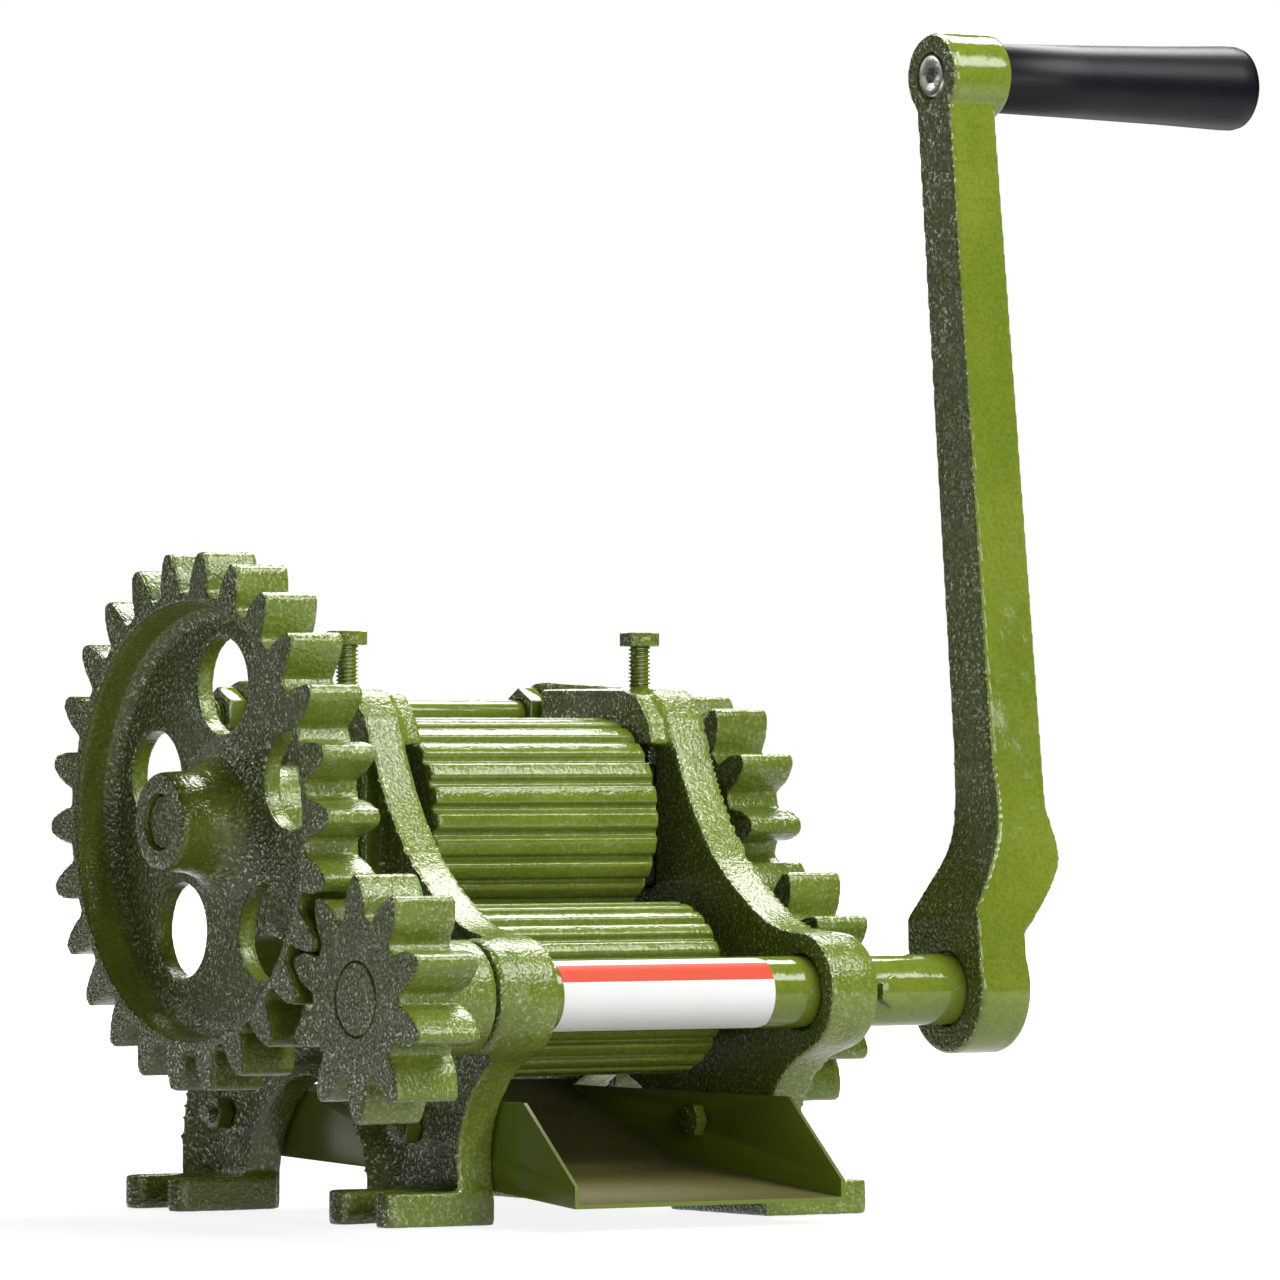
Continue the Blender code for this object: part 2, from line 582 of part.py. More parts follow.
def side_frame(name, side):
    def along(out):
        return side * (INNER + out)

    frame = Piece(name, framed_plate(side), PAINT, (side * INNER, 0, 0))
    for axis in (FRONT_AXIS, REAR_AXIS):
        frame.join(rod(along(-CROWN_IN), along(LOWER_BOSS_OUT), LOWER_BOSS_RADIUS, axis))
    drive_out = along(DRIVE_BOSS_OUT[side])
    frame.join(rod(along(MM), drive_out, DRIVE_BOSS_RADIUS - BOSS_SINK, DRIVE_AXIS))
    frame.join(rod(along(-TIE_BOSS_IN), along(TIE_BOSS_OUT), TIE_BOSS_RADIUS - BOSS_SINK, TIE_AXIS))
    cheek = WINDOW_HALF + RIM
    back = TIE_AXIS[0] - TIE_BOSS_RADIUS
    crown = [(back, WINDOW_TOP), (back, CROWN_TOP - MM), (-WINDOW_HALF + 12 * MM, CROWN_TOP - MM)]
    crown += [(-WINDOW_HALF, CROWN_TOP - 3 * MM), (-cheek, CROWN_TOP - 12 * MM)]
    crown.append((-cheek - 3 * MM, WINDOW_TOP))
    frame.join(prism(crown, along(-CROWN_IN), along(RIM_WIDTH - MM)))
    low = TOP_AXIS[1] - WINDOW_BELOW - RIM
    frame.join(box_across(along(WEB / 2), along(RIM_WIDTH - MM), (-cheek, low), (cheek, WINDOW_TOP + MM)))
    frame.join(*[prism(foot_outline(side, span), 0, SOLE, "Z") for span in (FRONT_FOOT, REAR_FOOT)])
    window = (along(-CROWN_IN - REACH), along(RIM_WIDTH + REACH))
    frame.cut(box_across(*window, (-WINDOW_HALF, TOP_AXIS[1] - WINDOW_BELOW), (WINDOW_HALF, WINDOW_TOP)))
    for axis, radius in (
        (FRONT_AXIS, LOWER_SHAFT_RADIUS),
        (REAR_AXIS, LOWER_SHAFT_RADIUS),
        (DRIVE_AXIS, DRIVE_SHAFT_RADIUS),
    ):
        bore_end = max(LOWER_BOSS_OUT, DRIVE_BOSS_OUT[side]) + REACH
        frame.cut(rod(along(-CROWN_IN - REACH), along(bore_end), radius + GAP, axis))
    tie_hole = (along(-TIE_BOSS_IN - REACH), along(TIE_BOSS_OUT + REACH))
    frame.cut(rod(*tie_hole, TIE_RADIUS + GAP, TIE_AXIS, SMALL_SIDES))
    for place in TRAY_BOLTS:
        frame.join(rod(along(WEB / 2), along(WEB + TRAY_PAD), TRAY_BOLT_FLATS * 0.75, place, SMALL_SIDES))
        hole = (along(-REACH), along(WEB + TRAY_PAD + REACH))
        frame.cut(rod(*hole, TRAY_BOLT_RADIUS + GAP, place, SMALL_SIDES))
    thread = rod(0, CROWN_TOP - WINDOW_TOP + 2 * REACH, ADJUSTER_RADIUS + GAP, (0, 0), SMALL_SIDES)
    frame.cut(stand_up(thread, (side * adjuster_x(), TOP_AXIS[0], WINDOW_TOP - REACH)))
    return frame.shade()


def box_across(start, end, low, high):
    """A box between two X values in either order, with (y, z) corners."""
    x0, x1 = sorted((start, end))
    return box((x0, *low), (x1, *high))


def adjuster_x():
    """How far the adjusting bolts stand from the middle: the middle of a bearing block."""
    inner = ROLLER_LENGTH / 2 + RUN
    return (inner + INNER + BLOCK_OUT) / 2


def top_bearing(name, side):
    inner = ROLLER_LENGTH / 2 + RUN
    outer = INNER + BLOCK_OUT - RUN
    low = TOP_AXIS[1] - WINDOW_BELOW + GAP
    high = TOP_AXIS[1] + BLOCK_ABOVE
    half = WINDOW_HALF - GAP
    ends = (side * inner, side * outer)
    block = Piece(
        name, box_across(*ends, (-half, low), (half, high)), CAST, (side * inner, TOP_AXIS[0], low)
    )
    past = (side * (inner - REACH), side * (outer + REACH))
    block.cut(rod(*past, TOP_SHAFT_RADIUS + GAP, TOP_AXIS))
    return block.shade()


def adjusting_bolt(name, side):
    tip = TOP_AXIS[1] + BLOCK_ABOVE + GAP
    head = CROWN_TOP + ADJUSTER_SHOWING
    place = (side * adjuster_x(), TOP_AXIS[0], tip)
    shank = rod(0, head - tip + MM, ADJUSTER_RADIUS, (0, 0), SMALL_SIDES)
    bolt = Piece(name, stand_up(shank, place), PAINT, place)
    cap = hexagon(0, ADJUSTER_HEAD, ADJUSTER_HEAD_FLATS, (0, 0))
    bolt.join(stand_up(cap, (side * adjuster_x(), TOP_AXIS[0], head)))
    return bolt.shade()


# --- drive shaft, crank and grip ---


def crank_frame():
    """Turns the upright crank to its lean, about the drive axis."""
    centre = Vector((0, *DRIVE_AXIS))
    return Matrix.Translation(centre) @ Matrix.Rotation(-CRANK_LEAN, 4, "X")


def eye_axis():
    """(Y, Z) of the grip's axis."""
    place = crank_frame() @ Vector((0, 0, CRANK_RADIUS))
    return (place.y, place.z)


def crank_arm():
    hub_end = CRANK_FACE + CRANK_HUB_WIDTH
    arm = CRANK_FACE + ARM_OFFSET
    back = arm + ARM_THICK
    inside = smooth([(arm, 70 * MM), (arm - 4 * MM, 52 * MM), (CRANK_FACE + MM, 30 * MM)], 4)
    outside = smooth([(hub_end - MM, 20 * MM), (hub_end + 8 * MM, 30 * MM), (back + 2 * MM, 46 * MM)], 4)
    low = -CRANK_HUB_RADIUS / 2
    top = CRANK_RADIUS - EYE_RADIUS / 2
    side_view = [(arm, top)] + inside + [(CRANK_FACE + MM, low), (hub_end - MM, low)]
    side_view += outside + [(back, ARM_FOOT_END), (back, top)]
    bm = bmesh.new()
    rings = []
    for side in (-1, 1):
        ring = []
        for x, up in side_view:
            share = min(1.0, max(0.0, up) / ARM_FOOT_END)
            width = ARM_FOOT_WIDTH + (ARM_WIDTH - ARM_FOOT_WIDTH) * math.sin(share * math.pi / 2)
            width += (ARM_TOP_WIDTH - ARM_WIDTH) * up / CRANK_RADIUS
            ring.append(bm.verts.new((x, side * width / 2, up)))
        rings.append(ring)
    count = len(side_view)
    for i in range(count):
        j = (i + 1) % count
        bm.faces.new((rings[0][i], rings[0][j], rings[1][j], rings[1][i]))
    for ring in rings:
        bm.faces.new(ring)
    bmesh.ops.triangulate(bm, faces=bm.faces)
    bmesh.ops.recalc_face_normals(bm, faces=bm.faces)
    bmesh.ops.transform(bm, matrix=crank_frame(), verts=bm.verts)
    crank = Piece("crank_arm", bm, PAINT, (CRANK_FACE, *DRIVE_AXIS))
    crank.join(rod(CRANK_FACE, hub_end, CRANK_HUB_RADIUS, DRIVE_AXIS))
    crank.join(rod(arm - GAP, arm + EYE_WIDTH, EYE_RADIUS, eye_axis()))
    crank.cut(rod(CRANK_FACE - REACH, hub_end + REACH, DRIVE_SHAFT_RADIUS + GAP, DRIVE_AXIS))
    crank.cut(rod(arm - REACH, arm + EYE_WIDTH + REACH, GRIP_BOLT_RADIUS + GAP, eye_axis(), SMALL_SIDES))
    sink = arm + GRIP_HEAD + GAP
    crank.cut(rod(arm - REACH, sink, GRIP_HEAD_RADIUS + GAP, eye_axis(), SMALL_SIDES))
    return crank.shade()


def grip_and_bolt():
    axis = eye_axis()
    arm = CRANK_FACE + ARM_OFFSET
    start = arm + EYE_WIDTH + GAP
    end = start + GRIP_LENGTH
    small, large = GRIP_RADII
    profile = [(start, small - MM), (start + MM, small), (end - 5 * MM, large)]
    profile += [(end - 1.5 * MM, large - 1.2 * MM), (end, large - 4 * MM)]
    grip = Piece("grip", turned(profile, axis), PLASTIC, (start, *axis))
    grip.cut(rod(start - REACH, end + REACH, GRIP_BOLT_RADIUS + GAP, axis, SMALL_SIDES))
    nut_start = end - GRIP_POCKET
    grip.cut(rod(nut_start, end + REACH, GRIP_NUT_FLATS / math.sqrt(3) + GAP, axis)).shade()
    profile = [(arm, GRIP_HEAD_RADIUS - 0.5 * MM), (arm + 0.5 * MM, GRIP_HEAD_RADIUS)]
    profile += [(arm + GRIP_HEAD, GRIP_HEAD_RADIUS), (arm + GRIP_HEAD, GRIP_BOLT_RADIUS)]
    profile.append((end - 2 * MM, GRIP_BOLT_RADIUS))
    bolt = Piece("grip_bolt", turned(profile, axis, SMALL_SIDES), STEEL, (arm, *axis))
    bolt.cut(hexagon(arm - REACH, arm + GRIP_SOCKET_DEPTH, GRIP_SOCKET, axis)).shade()
    nut_start += GAP
    blank = hexagon(nut_start, nut_start + GRIP_NUT, GRIP_NUT_FLATS, axis)
    nut = Piece("grip_nut", blank, STEEL, (nut_start, *axis))
    nut.cut(rod(nut_start - REACH, end + REACH, GRIP_BOLT_RADIUS + GAP, axis, SMALL_SIDES)).shade()


def drive_shaft():
    hub_end = CRANK_FACE + CRANK_HUB_WIDTH
    made = shaft("drive_shaft", [(PINION_FACE, 0), (hub_end - MM, DRIVE_SHAFT_RADIUS)], DRIVE_AXIS)
    made.object.data.materials[0] = PAINT
    pinion = drive_pinion()
    key = (PINION_FACE + KEY_BLIND, PINION_BACK + KEY_BLIND)
    boss_face = -INNER - DRIVE_BOSS_OUT[-1]
    add_key("pinion_key", *key, DRIVE_SHAFT_RADIUS, DRIVE_AXIS, pinion, made, boss_face)
    crank = crank_arm()
    key = (CRANK_FACE + MM, hub_end - KEY_BLIND)
    add_key("crank_key", *key, DRIVE_SHAFT_RADIUS, DRIVE_AXIS, crank, made, CRANK_FACE)
    seat = DRIVE_SHAFT_RADIUS + GAP
    facing = Matrix.Rotation(math.pi / 2, 4, "X")
    centre = Matrix.Translation(Vector((STOP_BOLT_X, *DRIVE_AXIS)))

    def radial(bm):
        """Point a shape made along +Z at the origin to the front, from the drive axis."""
        bmesh.ops.transform(bm, matrix=centre @ facing, verts=bm.verts)
        return bm

    def upright(bm, height):
        return stand_up(bm, (0, 0, height))

    depth = DRIVE_SHAFT_RADIUS - STOP_BOLT_DEPTH
    shank = rod(0, STOP_BOLT_DEPTH + GAP + MM, STOP_BOLT_RADIUS, (0, 0), SMALL_SIDES)
    bolt = Piece("stop_bolt", radial(upright(shank, depth)), PAINT, (STOP_BOLT_X, *DRIVE_AXIS))
    bolt.join(radial(upright(hexagon(0, STOP_BOLT_HEAD, STOP_BOLT_FLATS, (0, 0)), seat))).shade()
    hole = rod(0, STOP_BOLT_DEPTH + REACH, STOP_BOLT_RADIUS + GAP, (0, 0), SMALL_SIDES)
    made.cut(radial(upright(hole, depth - GAP)))


def label():
    """A blank sticker wrapped on the front of the drive shaft."""
    inner = DRIVE_SHAFT_RADIUS + GAP
    turn = math.degrees(LABEL_HALF_WRAP)
    outside = arc(DRIVE_AXIS, inner + LABEL_THICK, 180 - turn, 180 + turn, 16)
    inside = arc(DRIVE_AXIS, inner, 180 + turn, 180 - turn, 16)
    Piece("label", prism(outside + inside, *LABEL_X), PAPER, (LABEL_X[0], *DRIVE_AXIS)).shade()


# --- tray and tie rod ---


def tray():
    side = INNER - GAP
    top = [TRAY_LIP, TRAY_BEND, TRAY_REAR]
    under = [(y, z - SHEET) for y, z in top]
    floor = prism(under + list(reversed(top)), -side, side)
    lip_y, lip_z = TRAY_LIP
    made = Piece("juice_tray", floor, PAINT, (0, lip_y, lip_z))
    wall = [(lip_y, lip_z - SHEET), (TRAY_BEND[0], TRAY_BEND[1] - 2 * SHEET), (TRAY_END, TRAY_END_LOW)]
    wall += [(TRAY_END, TRAY_WALL_TOP), (TRAY_SHOULDER, TRAY_WALL_TOP), (lip_y, lip_z + TRAY_LIP_SIDE)]
    for sign in (-1, 1):
        made.join(prism(wall, sign * side, sign * (side - SHEET)))
        hole = (sign * (side - SHEET - REACH), sign * (side + REACH))
        for place in TRAY_BOLTS:
            made.cut(rod(*hole, TRAY_BOLT_RADIUS + GAP, place, SMALL_SIDES))
    made.shade()


def tray_fasteners():
    inside = INNER - GAP - SHEET - GAP
    nut_start = INNER + WEB + TRAY_PAD + GAP
    for side, side_name in ((-1, "left"), (1, "right")):
        for place, end_name in zip(TRAY_BOLTS, ("front", "rear")):
            name = f"{side_name}_{end_name}_tray_bolt"
            head = hexagon(side * (inside - TRAY_BOLT_HEAD), side * inside, TRAY_BOLT_FLATS, place)
            end = nut_start + TRAY_NUT + TRAY_BOLT_PAST
            bolt = Piece(name, head, PAINT, (side * inside, *place))
            bolt.join(rod(side * (inside - MM), side * end, TRAY_BOLT_RADIUS, place, SMALL_SIDES)).shade()
            name = f"{side_name}_{end_name}_tray_nut"
            blank = hexagon(side * nut_start, side * (nut_start + TRAY_NUT), TRAY_BOLT_FLATS, place)
            nut = Piece(name, blank, PAINT, (side * nut_start, *place))
            nut.cut(rod(side * INNER, side * (end + REACH), TRAY_BOLT_RADIUS + GAP, place, SMALL_SIDES))
            nut.shade()


def tie_rod():
    inner_face = INNER - TIE_BOSS_IN - GAP
    outer_face = INNER + TIE_BOSS_OUT + GAP
    end = outer_face + TIE_NUT + TIE_PAST
    Piece("tie_rod", rod(-end, end, TIE_RADIUS, TIE_AXIS), PAINT, (-end, *TIE_AXIS)).shade()
    for side, side_name in ((-1, "left"), (1, "right")):
        for where, start, length in (("inner", inner_face, -TIE_NUT), ("outer", outer_face, TIE_NUT)):
            name = f"{side_name}_{where}_tie_nut"
            blank = hexagon(side * start, side * (start + length), TIE_NUT_FLATS, TIE_AXIS, math.pi / 6)
            nut = Piece(name, blank, PAINT, (side * start, *TIE_AXIS))
            hole = (side * (inner_face - TIE_NUT - REACH), side * (end + REACH))
            nut.cut(rod(*hole, TIE_RADIUS + GAP, TIE_AXIS, SMALL_SIDES))
            nut.shade()


def stand_on_origin():
    """Move the mill so that the middle of its footprint's box is the origin."""
    bpy.context.view_layer.update()
    graph = bpy.context.evaluated_depsgraph_get()
    corners = []
    for piece in MILL.children:
        seen = piece.evaluated_get(graph)
        corners += [seen.matrix_world @ vertex.co for vertex in seen.to_mesh().vertices]
        seen.to_mesh_clear()
    for axis in (0, 1):
        values = [corner[axis] for corner in corners]
        MILL.location[axis] = -(min(values) + max(values)) / 2


for item in list(bpy.data.objects):
    bpy.data.objects.remove(item, do_unlink=True)

PAINT = material("green_enamel", (0.16, 0.24, 0.035), 0.3)
CAST = material("cast_iron", (0.05, 0.06, 0.04), 0.6, 0.3)
STEEL = material("steel", (0.5, 0.5, 0.48), 0.35, 1.0)
PLASTIC = material("black_plastic", (0.012, 0.012, 0.013), 0.4)
PAPER = material("label_paper", (0.85, 0.85, 0.85), 0.45)

MILL = bpy.data.objects.new("mill", None)
bpy.context.scene.collection.objects.link(MILL)

for frame_side, frame_name in ((-1, "left"), (1, "right")):
    side_frame(f"{frame_name}_side_frame", frame_side)
    top_bearing(f"{frame_name}_top_bearing", frame_side)
    adjusting_bolt(f"{frame_name}_adjusting_bolt", frame_side)
rollers_and_gears()
drive_shaft()
grip_and_bolt()
label()
tray()
tray_fasteners()
tie_rod()
stand_on_origin()
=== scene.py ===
"""A hand-cranked cane mill in green enamel over rough castings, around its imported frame.

X runs along the rollers to the crank, -Y is the front and Z is up. Castings are joined from fine
shapes, remeshed so that every edge and corner is softly rounded, and given a slightly uneven skin.
"""

import math

import bmesh
import bpy
from mathutils import Matrix, Vector


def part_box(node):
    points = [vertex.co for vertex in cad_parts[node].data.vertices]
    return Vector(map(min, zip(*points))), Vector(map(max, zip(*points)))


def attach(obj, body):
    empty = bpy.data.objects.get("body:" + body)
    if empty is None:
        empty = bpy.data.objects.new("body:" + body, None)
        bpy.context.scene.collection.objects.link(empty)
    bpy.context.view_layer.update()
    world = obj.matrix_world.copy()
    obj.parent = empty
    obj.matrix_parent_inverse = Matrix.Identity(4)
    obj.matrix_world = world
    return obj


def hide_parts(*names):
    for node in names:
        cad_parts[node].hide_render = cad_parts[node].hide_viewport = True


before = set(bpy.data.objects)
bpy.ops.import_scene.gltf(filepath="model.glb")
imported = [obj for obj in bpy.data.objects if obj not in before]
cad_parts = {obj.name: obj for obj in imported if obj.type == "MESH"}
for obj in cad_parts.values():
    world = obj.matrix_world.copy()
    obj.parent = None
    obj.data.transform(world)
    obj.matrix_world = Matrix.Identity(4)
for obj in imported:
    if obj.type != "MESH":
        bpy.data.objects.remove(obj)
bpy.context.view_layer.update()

MM = 0.001
REACH = 3 * MM  # how far a cutter passes the surface it opens


# --- places, read from the frame, and sizes that several pieces share ---


def middle(node):
    """(Y, Z) of the middle of a node: the axis of a shaft."""
    low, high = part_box(node)
    return ((low[1] + high[1]) / 2, (low[2] + high[2]) / 2)


def span(node, axis=0):
    """Where a node starts and ends along an axis, X unless another is given."""
    low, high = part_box(node)
    return low[axis], high[axis]


TOP = middle("top_shaft")
FRONT = middle("front_shaft")
REAR = middle("rear_shaft")
DRIVE = middle("drive_shaft")
TIE = middle("tie_rod")
GRIP = middle("grip")
CENTRE_X = sum(span("tie_rod")) / 2
ROLLER = span("top_roller")
INNER = ROLLER[1] + 9 * MM - CENTRE_X
CROWN_TOP = span("left_adjusting_bolt", 2)[1] - 19.5 * MM

DRIVE_BORE = 13 * MM
LOWER_BORE = 11.3 * MM
TOP_BORE = 12.8 * MM  # round the top shaft where it is thick, in its roller and bearings
TOP_END_BORE = 9.8 * MM  # round its ends, in the gears
TIE_BORE = 5.8 * MM
TRAY_BOLT_BORE = 3.5 * MM
TRAY_BOLTS = ((-50 * MM, 33 * MM), (78 * MM, 34 * MM))
THIN_SIDES = 32  # of a bolt or a small hole
CAPPED = 0.5 * MM  # how far a hexagon's edges are cut back


def x_at(value):
    """X in the frame of a distance from the middle of the rollers."""
    return CENTRE_X + value


def from_top(y, z):
    """(Y, Z) in the frame, with y measured from the top roller's axis and z from the floor."""
    return (TOP[0] + y, z)


# --- shapes ---


def arc(centre, radius, start, end, steps):
    """Points on a circle, from one angle to another in degrees."""
    angles = [math.radians(start + (end - start) * i / steps) for i in range(steps + 1)]
    return [(centre[0] + radius * math.cos(a), centre[1] + radius * math.sin(a)) for a in angles]


def smooth(points, steps):
    """A Catmull-Rom curve through the points."""
    knots = [Vector(p) for p in points]
    knots = [2 * knots[0] - knots[1]] + knots + [2 * knots[-1] - knots[-2]]
    curve = []
    for a, b, c, d in zip(knots, knots[1:], knots[2:], knots[3:]):
        for i in range(steps):
            t = i / steps
            bend = 2 * a - 5 * b + 4 * c - d
            twist = 3 * b - 3 * c + d - a
            curve.append(tuple((2 * b + (c - a) * t + bend * t**2 + twist * t**3) / 2))
    return curve + [tuple(knots[-2])]


def prism(outline, start, end, axis="X"):
    """A closed (Y, Z) outline pushed along X, or an (X, Y) one along Z."""
    low, high = sorted((start, end))
    place = {"X": lambda a, b: (low, a, b), "Z": lambda a, b: (a, b, low)}[axis]
    push = {"X": (high - low, 0, 0), "Z": (0, 0, high - low)}[axis]
    bm = bmesh.new()
    base = bm.faces.new([bm.verts.new(place(a, b)) for a, b in outline])
    raised = bmesh.ops.extrude_face_region(bm, geom=[base])["geom"]
    bmesh.ops.translate(bm, verts=[g for g in raised if isinstance(g, bmesh.types.BMVert)], vec=push)
    bmesh.ops.recalc_face_normals(bm, faces=bm.faces)
    return bm


def box_at(start, end, low, high):
    """A block along X between two (Y, Z) corners."""
    return prism([low, (high[0], low[1]), high, (low[0], high[1])], start, end)


def turned(profile, axis, steps=72):
    """An (x, radius) profile spun round a line along X; it ends on the line, or closes on itself."""
    bm = bmesh.new()
    verts = [bm.verts.new((x, axis[0] + radius, axis[1])) for x, radius in profile]
    edges = [bm.edges.new(pair) for pair in zip(verts, verts[1:])]
    if profile[0][1] > 0:
        edges.append(bm.edges.new((verts[-1], verts[0])))
    bmesh.ops.spin(
        bm,
        geom=verts + edges,
        cent=(0, *axis),
        axis=(1, 0, 0),
        angle=2 * math.pi,
        steps=steps,
        use_merge=True,
    )
    bmesh.ops.remove_doubles(bm, verts=bm.verts, dist=1e-6)
    bmesh.ops.recalc_face_normals(bm, faces=bm.faces)
    return bm


def rod(start, end, radius, axis, steps=72, edge=0.0):
    """A bar along X, with its ends' edges cut back where an edge is given."""
    low, high = sorted((start, end))
    profile = [(low, 0), (low, radius), (high, radius), (high, 0)]
    if edge:
        profile = [(low, 0), (low, radius - edge), (low + edge, radius)]
        profile += [(high - edge, radius), (high, radius - edge), (high, 0)]
    return turned(profile, axis, steps)


def hexagon(start, end, flats, axis, turn=0.0):
    """A six-sided bar along X whose corners are cut back at both ends."""
    radius = flats / math.sqrt(3)
    angles = [turn + i * math.pi / 3 for i in range(6)]
    corners = [(axis[0] + radius * math.cos(a), axis[1] + radius * math.sin(a)) for a in angles]
    bm = prism(corners, start, end)
    bmesh.ops.bevel(
        bm,
        geom=list(bm.edges),
        offset=CAPPED,
        offset_type="OFFSET",
        segments=2,
        affect="EDGES",
        profile=0.5,
        material=-1,
    )
    return bm


def thread(start, end, radius, pitch, axis, sides=24):
    """A threaded rod along X: one ridge spun along a helix, then cut square at both ends."""
    bm = bmesh.new()
    low, high = sorted((start, end))
    turns = math.ceil((high - low) / pitch) + 3
    root = radius - 0.55 * pitch
    ridge = [(0, root), (0.3 * pitch, radius), (0.55 * pitch, radius), (0.85 * pitch, root), (pitch, root)]
    begin = low - 1.5 * pitch
    verts = [bm.verts.new((begin + x, axis[0] + r, axis[1])) for x, r in ridge]
    edges = [bm.edges.new(pair) for pair in zip(verts, verts[1:])]
    bmesh.ops.spin(
        bm,
        geom=verts + edges,
        cent=(0, *axis),
        axis=(1, 0, 0),
        angle=2 * math.pi * turns,
        steps=sides * turns,
        dvec=(pitch / sides, 0, 0),
    )
    bmesh.ops.remove_doubles(bm, verts=bm.verts, dist=0.02 * MM)
    for x, way in ((low, -1), (high, 1)):
        everything = list(bm.verts) + list(bm.edges) + list(bm.faces)
        cut = bmesh.ops.bisect_plane(
            bm, geom=everything, plane_co=(x, 0, 0), plane_no=(way, 0, 0), clear_outer=True
        )
        rim = [g for g in cut["geom_cut"] if isinstance(g, bmesh.types.BMEdge)]
        bmesh.ops.edgeloop_fill(bm, edges=rim)
    bmesh.ops.recalc_face_normals(bm, faces=bm.faces)
    return bm


def pointed(bm, place, toward="Z"):
    """Turn a shape made along X at the origin to point along +Z or -Y, and move it."""
    turn = {"Z": Matrix.Rotation(-math.pi / 2, 4, "Y"), "front": Matrix.Rotation(-math.pi / 2, 4, "Z")}
    bmesh.ops.transform(bm, matrix=Matrix.Translation(Vector(place)) @ turn[toward], verts=bm.verts)
    return bm


# --- pieces ---


def as_object(bm, name):
    """Turn a shape into an object of the scene."""
    mesh = bpy.data.meshes.new(name)
    bm.to_mesh(mesh)
    bm.free()
    made = bpy.data.objects.new(name, mesh)
    bpy.context.scene.collection.objects.link(made)
    return made


def baked(item):
    """Apply an object's modifiers and drop them."""
    graph = bpy.context.evaluated_depsgraph_get()
    mesh = bpy.data.meshes.new_from_object(item.evaluated_get(graph))
    item.modifiers.clear()
    item.data = mesh
    return item


def combined(name, joined, cuts=(), within=()):
    """One object from shapes joined in turn, kept within other shapes, less the cuts."""
    base = as_object(joined[0], name)
    tools = []
    for operation, shapes in (("UNION", joined[1:]), ("INTERSECT", within), ("DIFFERENCE", cuts)):
        for shape in shapes:
            tool = as_object(shape, f"{name}_tool")
            modifier = base.modifiers.new(operation, "BOOLEAN")
            modifier.operation = operation
            modifier.solver = "EXACT"
            modifier.object = tool
            tools.append(tool)
    baked(base)
    for tool in tools:
        bpy.data.objects.remove(tool)
    return base


def casting(name, joined, cuts=(), within=(), voxel=1.0 * MM, rounding=4, unevenness=0.25 * MM):
    """A cast piece: remeshed, its edges softened, its skin a little uneven."""
    item = combined(name, joined, cuts, within)
    remesh = item.modifiers.new("Skin", "REMESH")
    remesh.mode = "VOXEL"
    remesh.voxel_size = voxel
    remesh.use_smooth_shade = True
    soften = item.modifiers.new("Soften", "SMOOTH")
    soften.factor = 0.5
    soften.iterations = rounding
    if unevenness:
        lumps = bpy.data.textures.new(f"{name}_lumps", "CLOUDS")
        lumps.noise_scale = 9 * MM
        lumps.noise_depth = 2
        uneven = item.modifiers.new("Uneven", "DISPLACE")
        uneven.texture = lumps
        uneven.texture_coords = "LOCAL"
        uneven.strength = unevenness
        uneven.mid_level = 0.5
    return baked(item)


def machined(name, joined, cuts=(), edge=0.3 * MM):
    """A turned or pressed piece, with a small bevel on its sharp edges."""
    item = combined(name, joined, cuts)
    if edge:
        bevel = item.modifiers.new("Edges", "BEVEL")
        bevel.width = edge
        bevel.segments = 2
        bevel.limit_method = "ANGLE"
        bevel.angle_limit = math.radians(40)
    baked(item)
    item.data.shade_smooth()
    item.data.set_sharp_from_angle(angle=math.radians(35))
    return item


def stands_for(item, node, body, finish):
    """Give a piece its finish and let it stand for one CAD node."""
    item.data.materials.clear()
    item.data.materials.append(finish)
    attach(item, body)
    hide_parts(node)
    return item


# --- finishes ---


class Value:
    """A shader socket that can stand in arithmetic."""

    def __init__(self, finish, socket):
        self.finish = finish
        self.socket = socket

    def __add__(self, other):
        return self.finish.maths("ADD", self, other)

    __radd__ = __add__

    def __sub__(self, other):
        return self.finish.maths("SUBTRACT", self, other)

    def __rsub__(self, other):
        return self.finish.maths("SUBTRACT", other, self)

    def __mul__(self, other):
        return self.finish.maths("MULTIPLY", self, other)

    __rmul__ = __mul__

    def __abs__(self):
        return self.finish.maths("ABSOLUTE", self)

    def rises(self, start, end):
        """0 below start and 1 above end, with a soft step between."""
        return self.finish.node(
            "ShaderNodeMapRange",
            {"interpolation_type": "SMOOTHSTEP"},
            {"Value": self, "From Min": start, "From Max": end},
        )


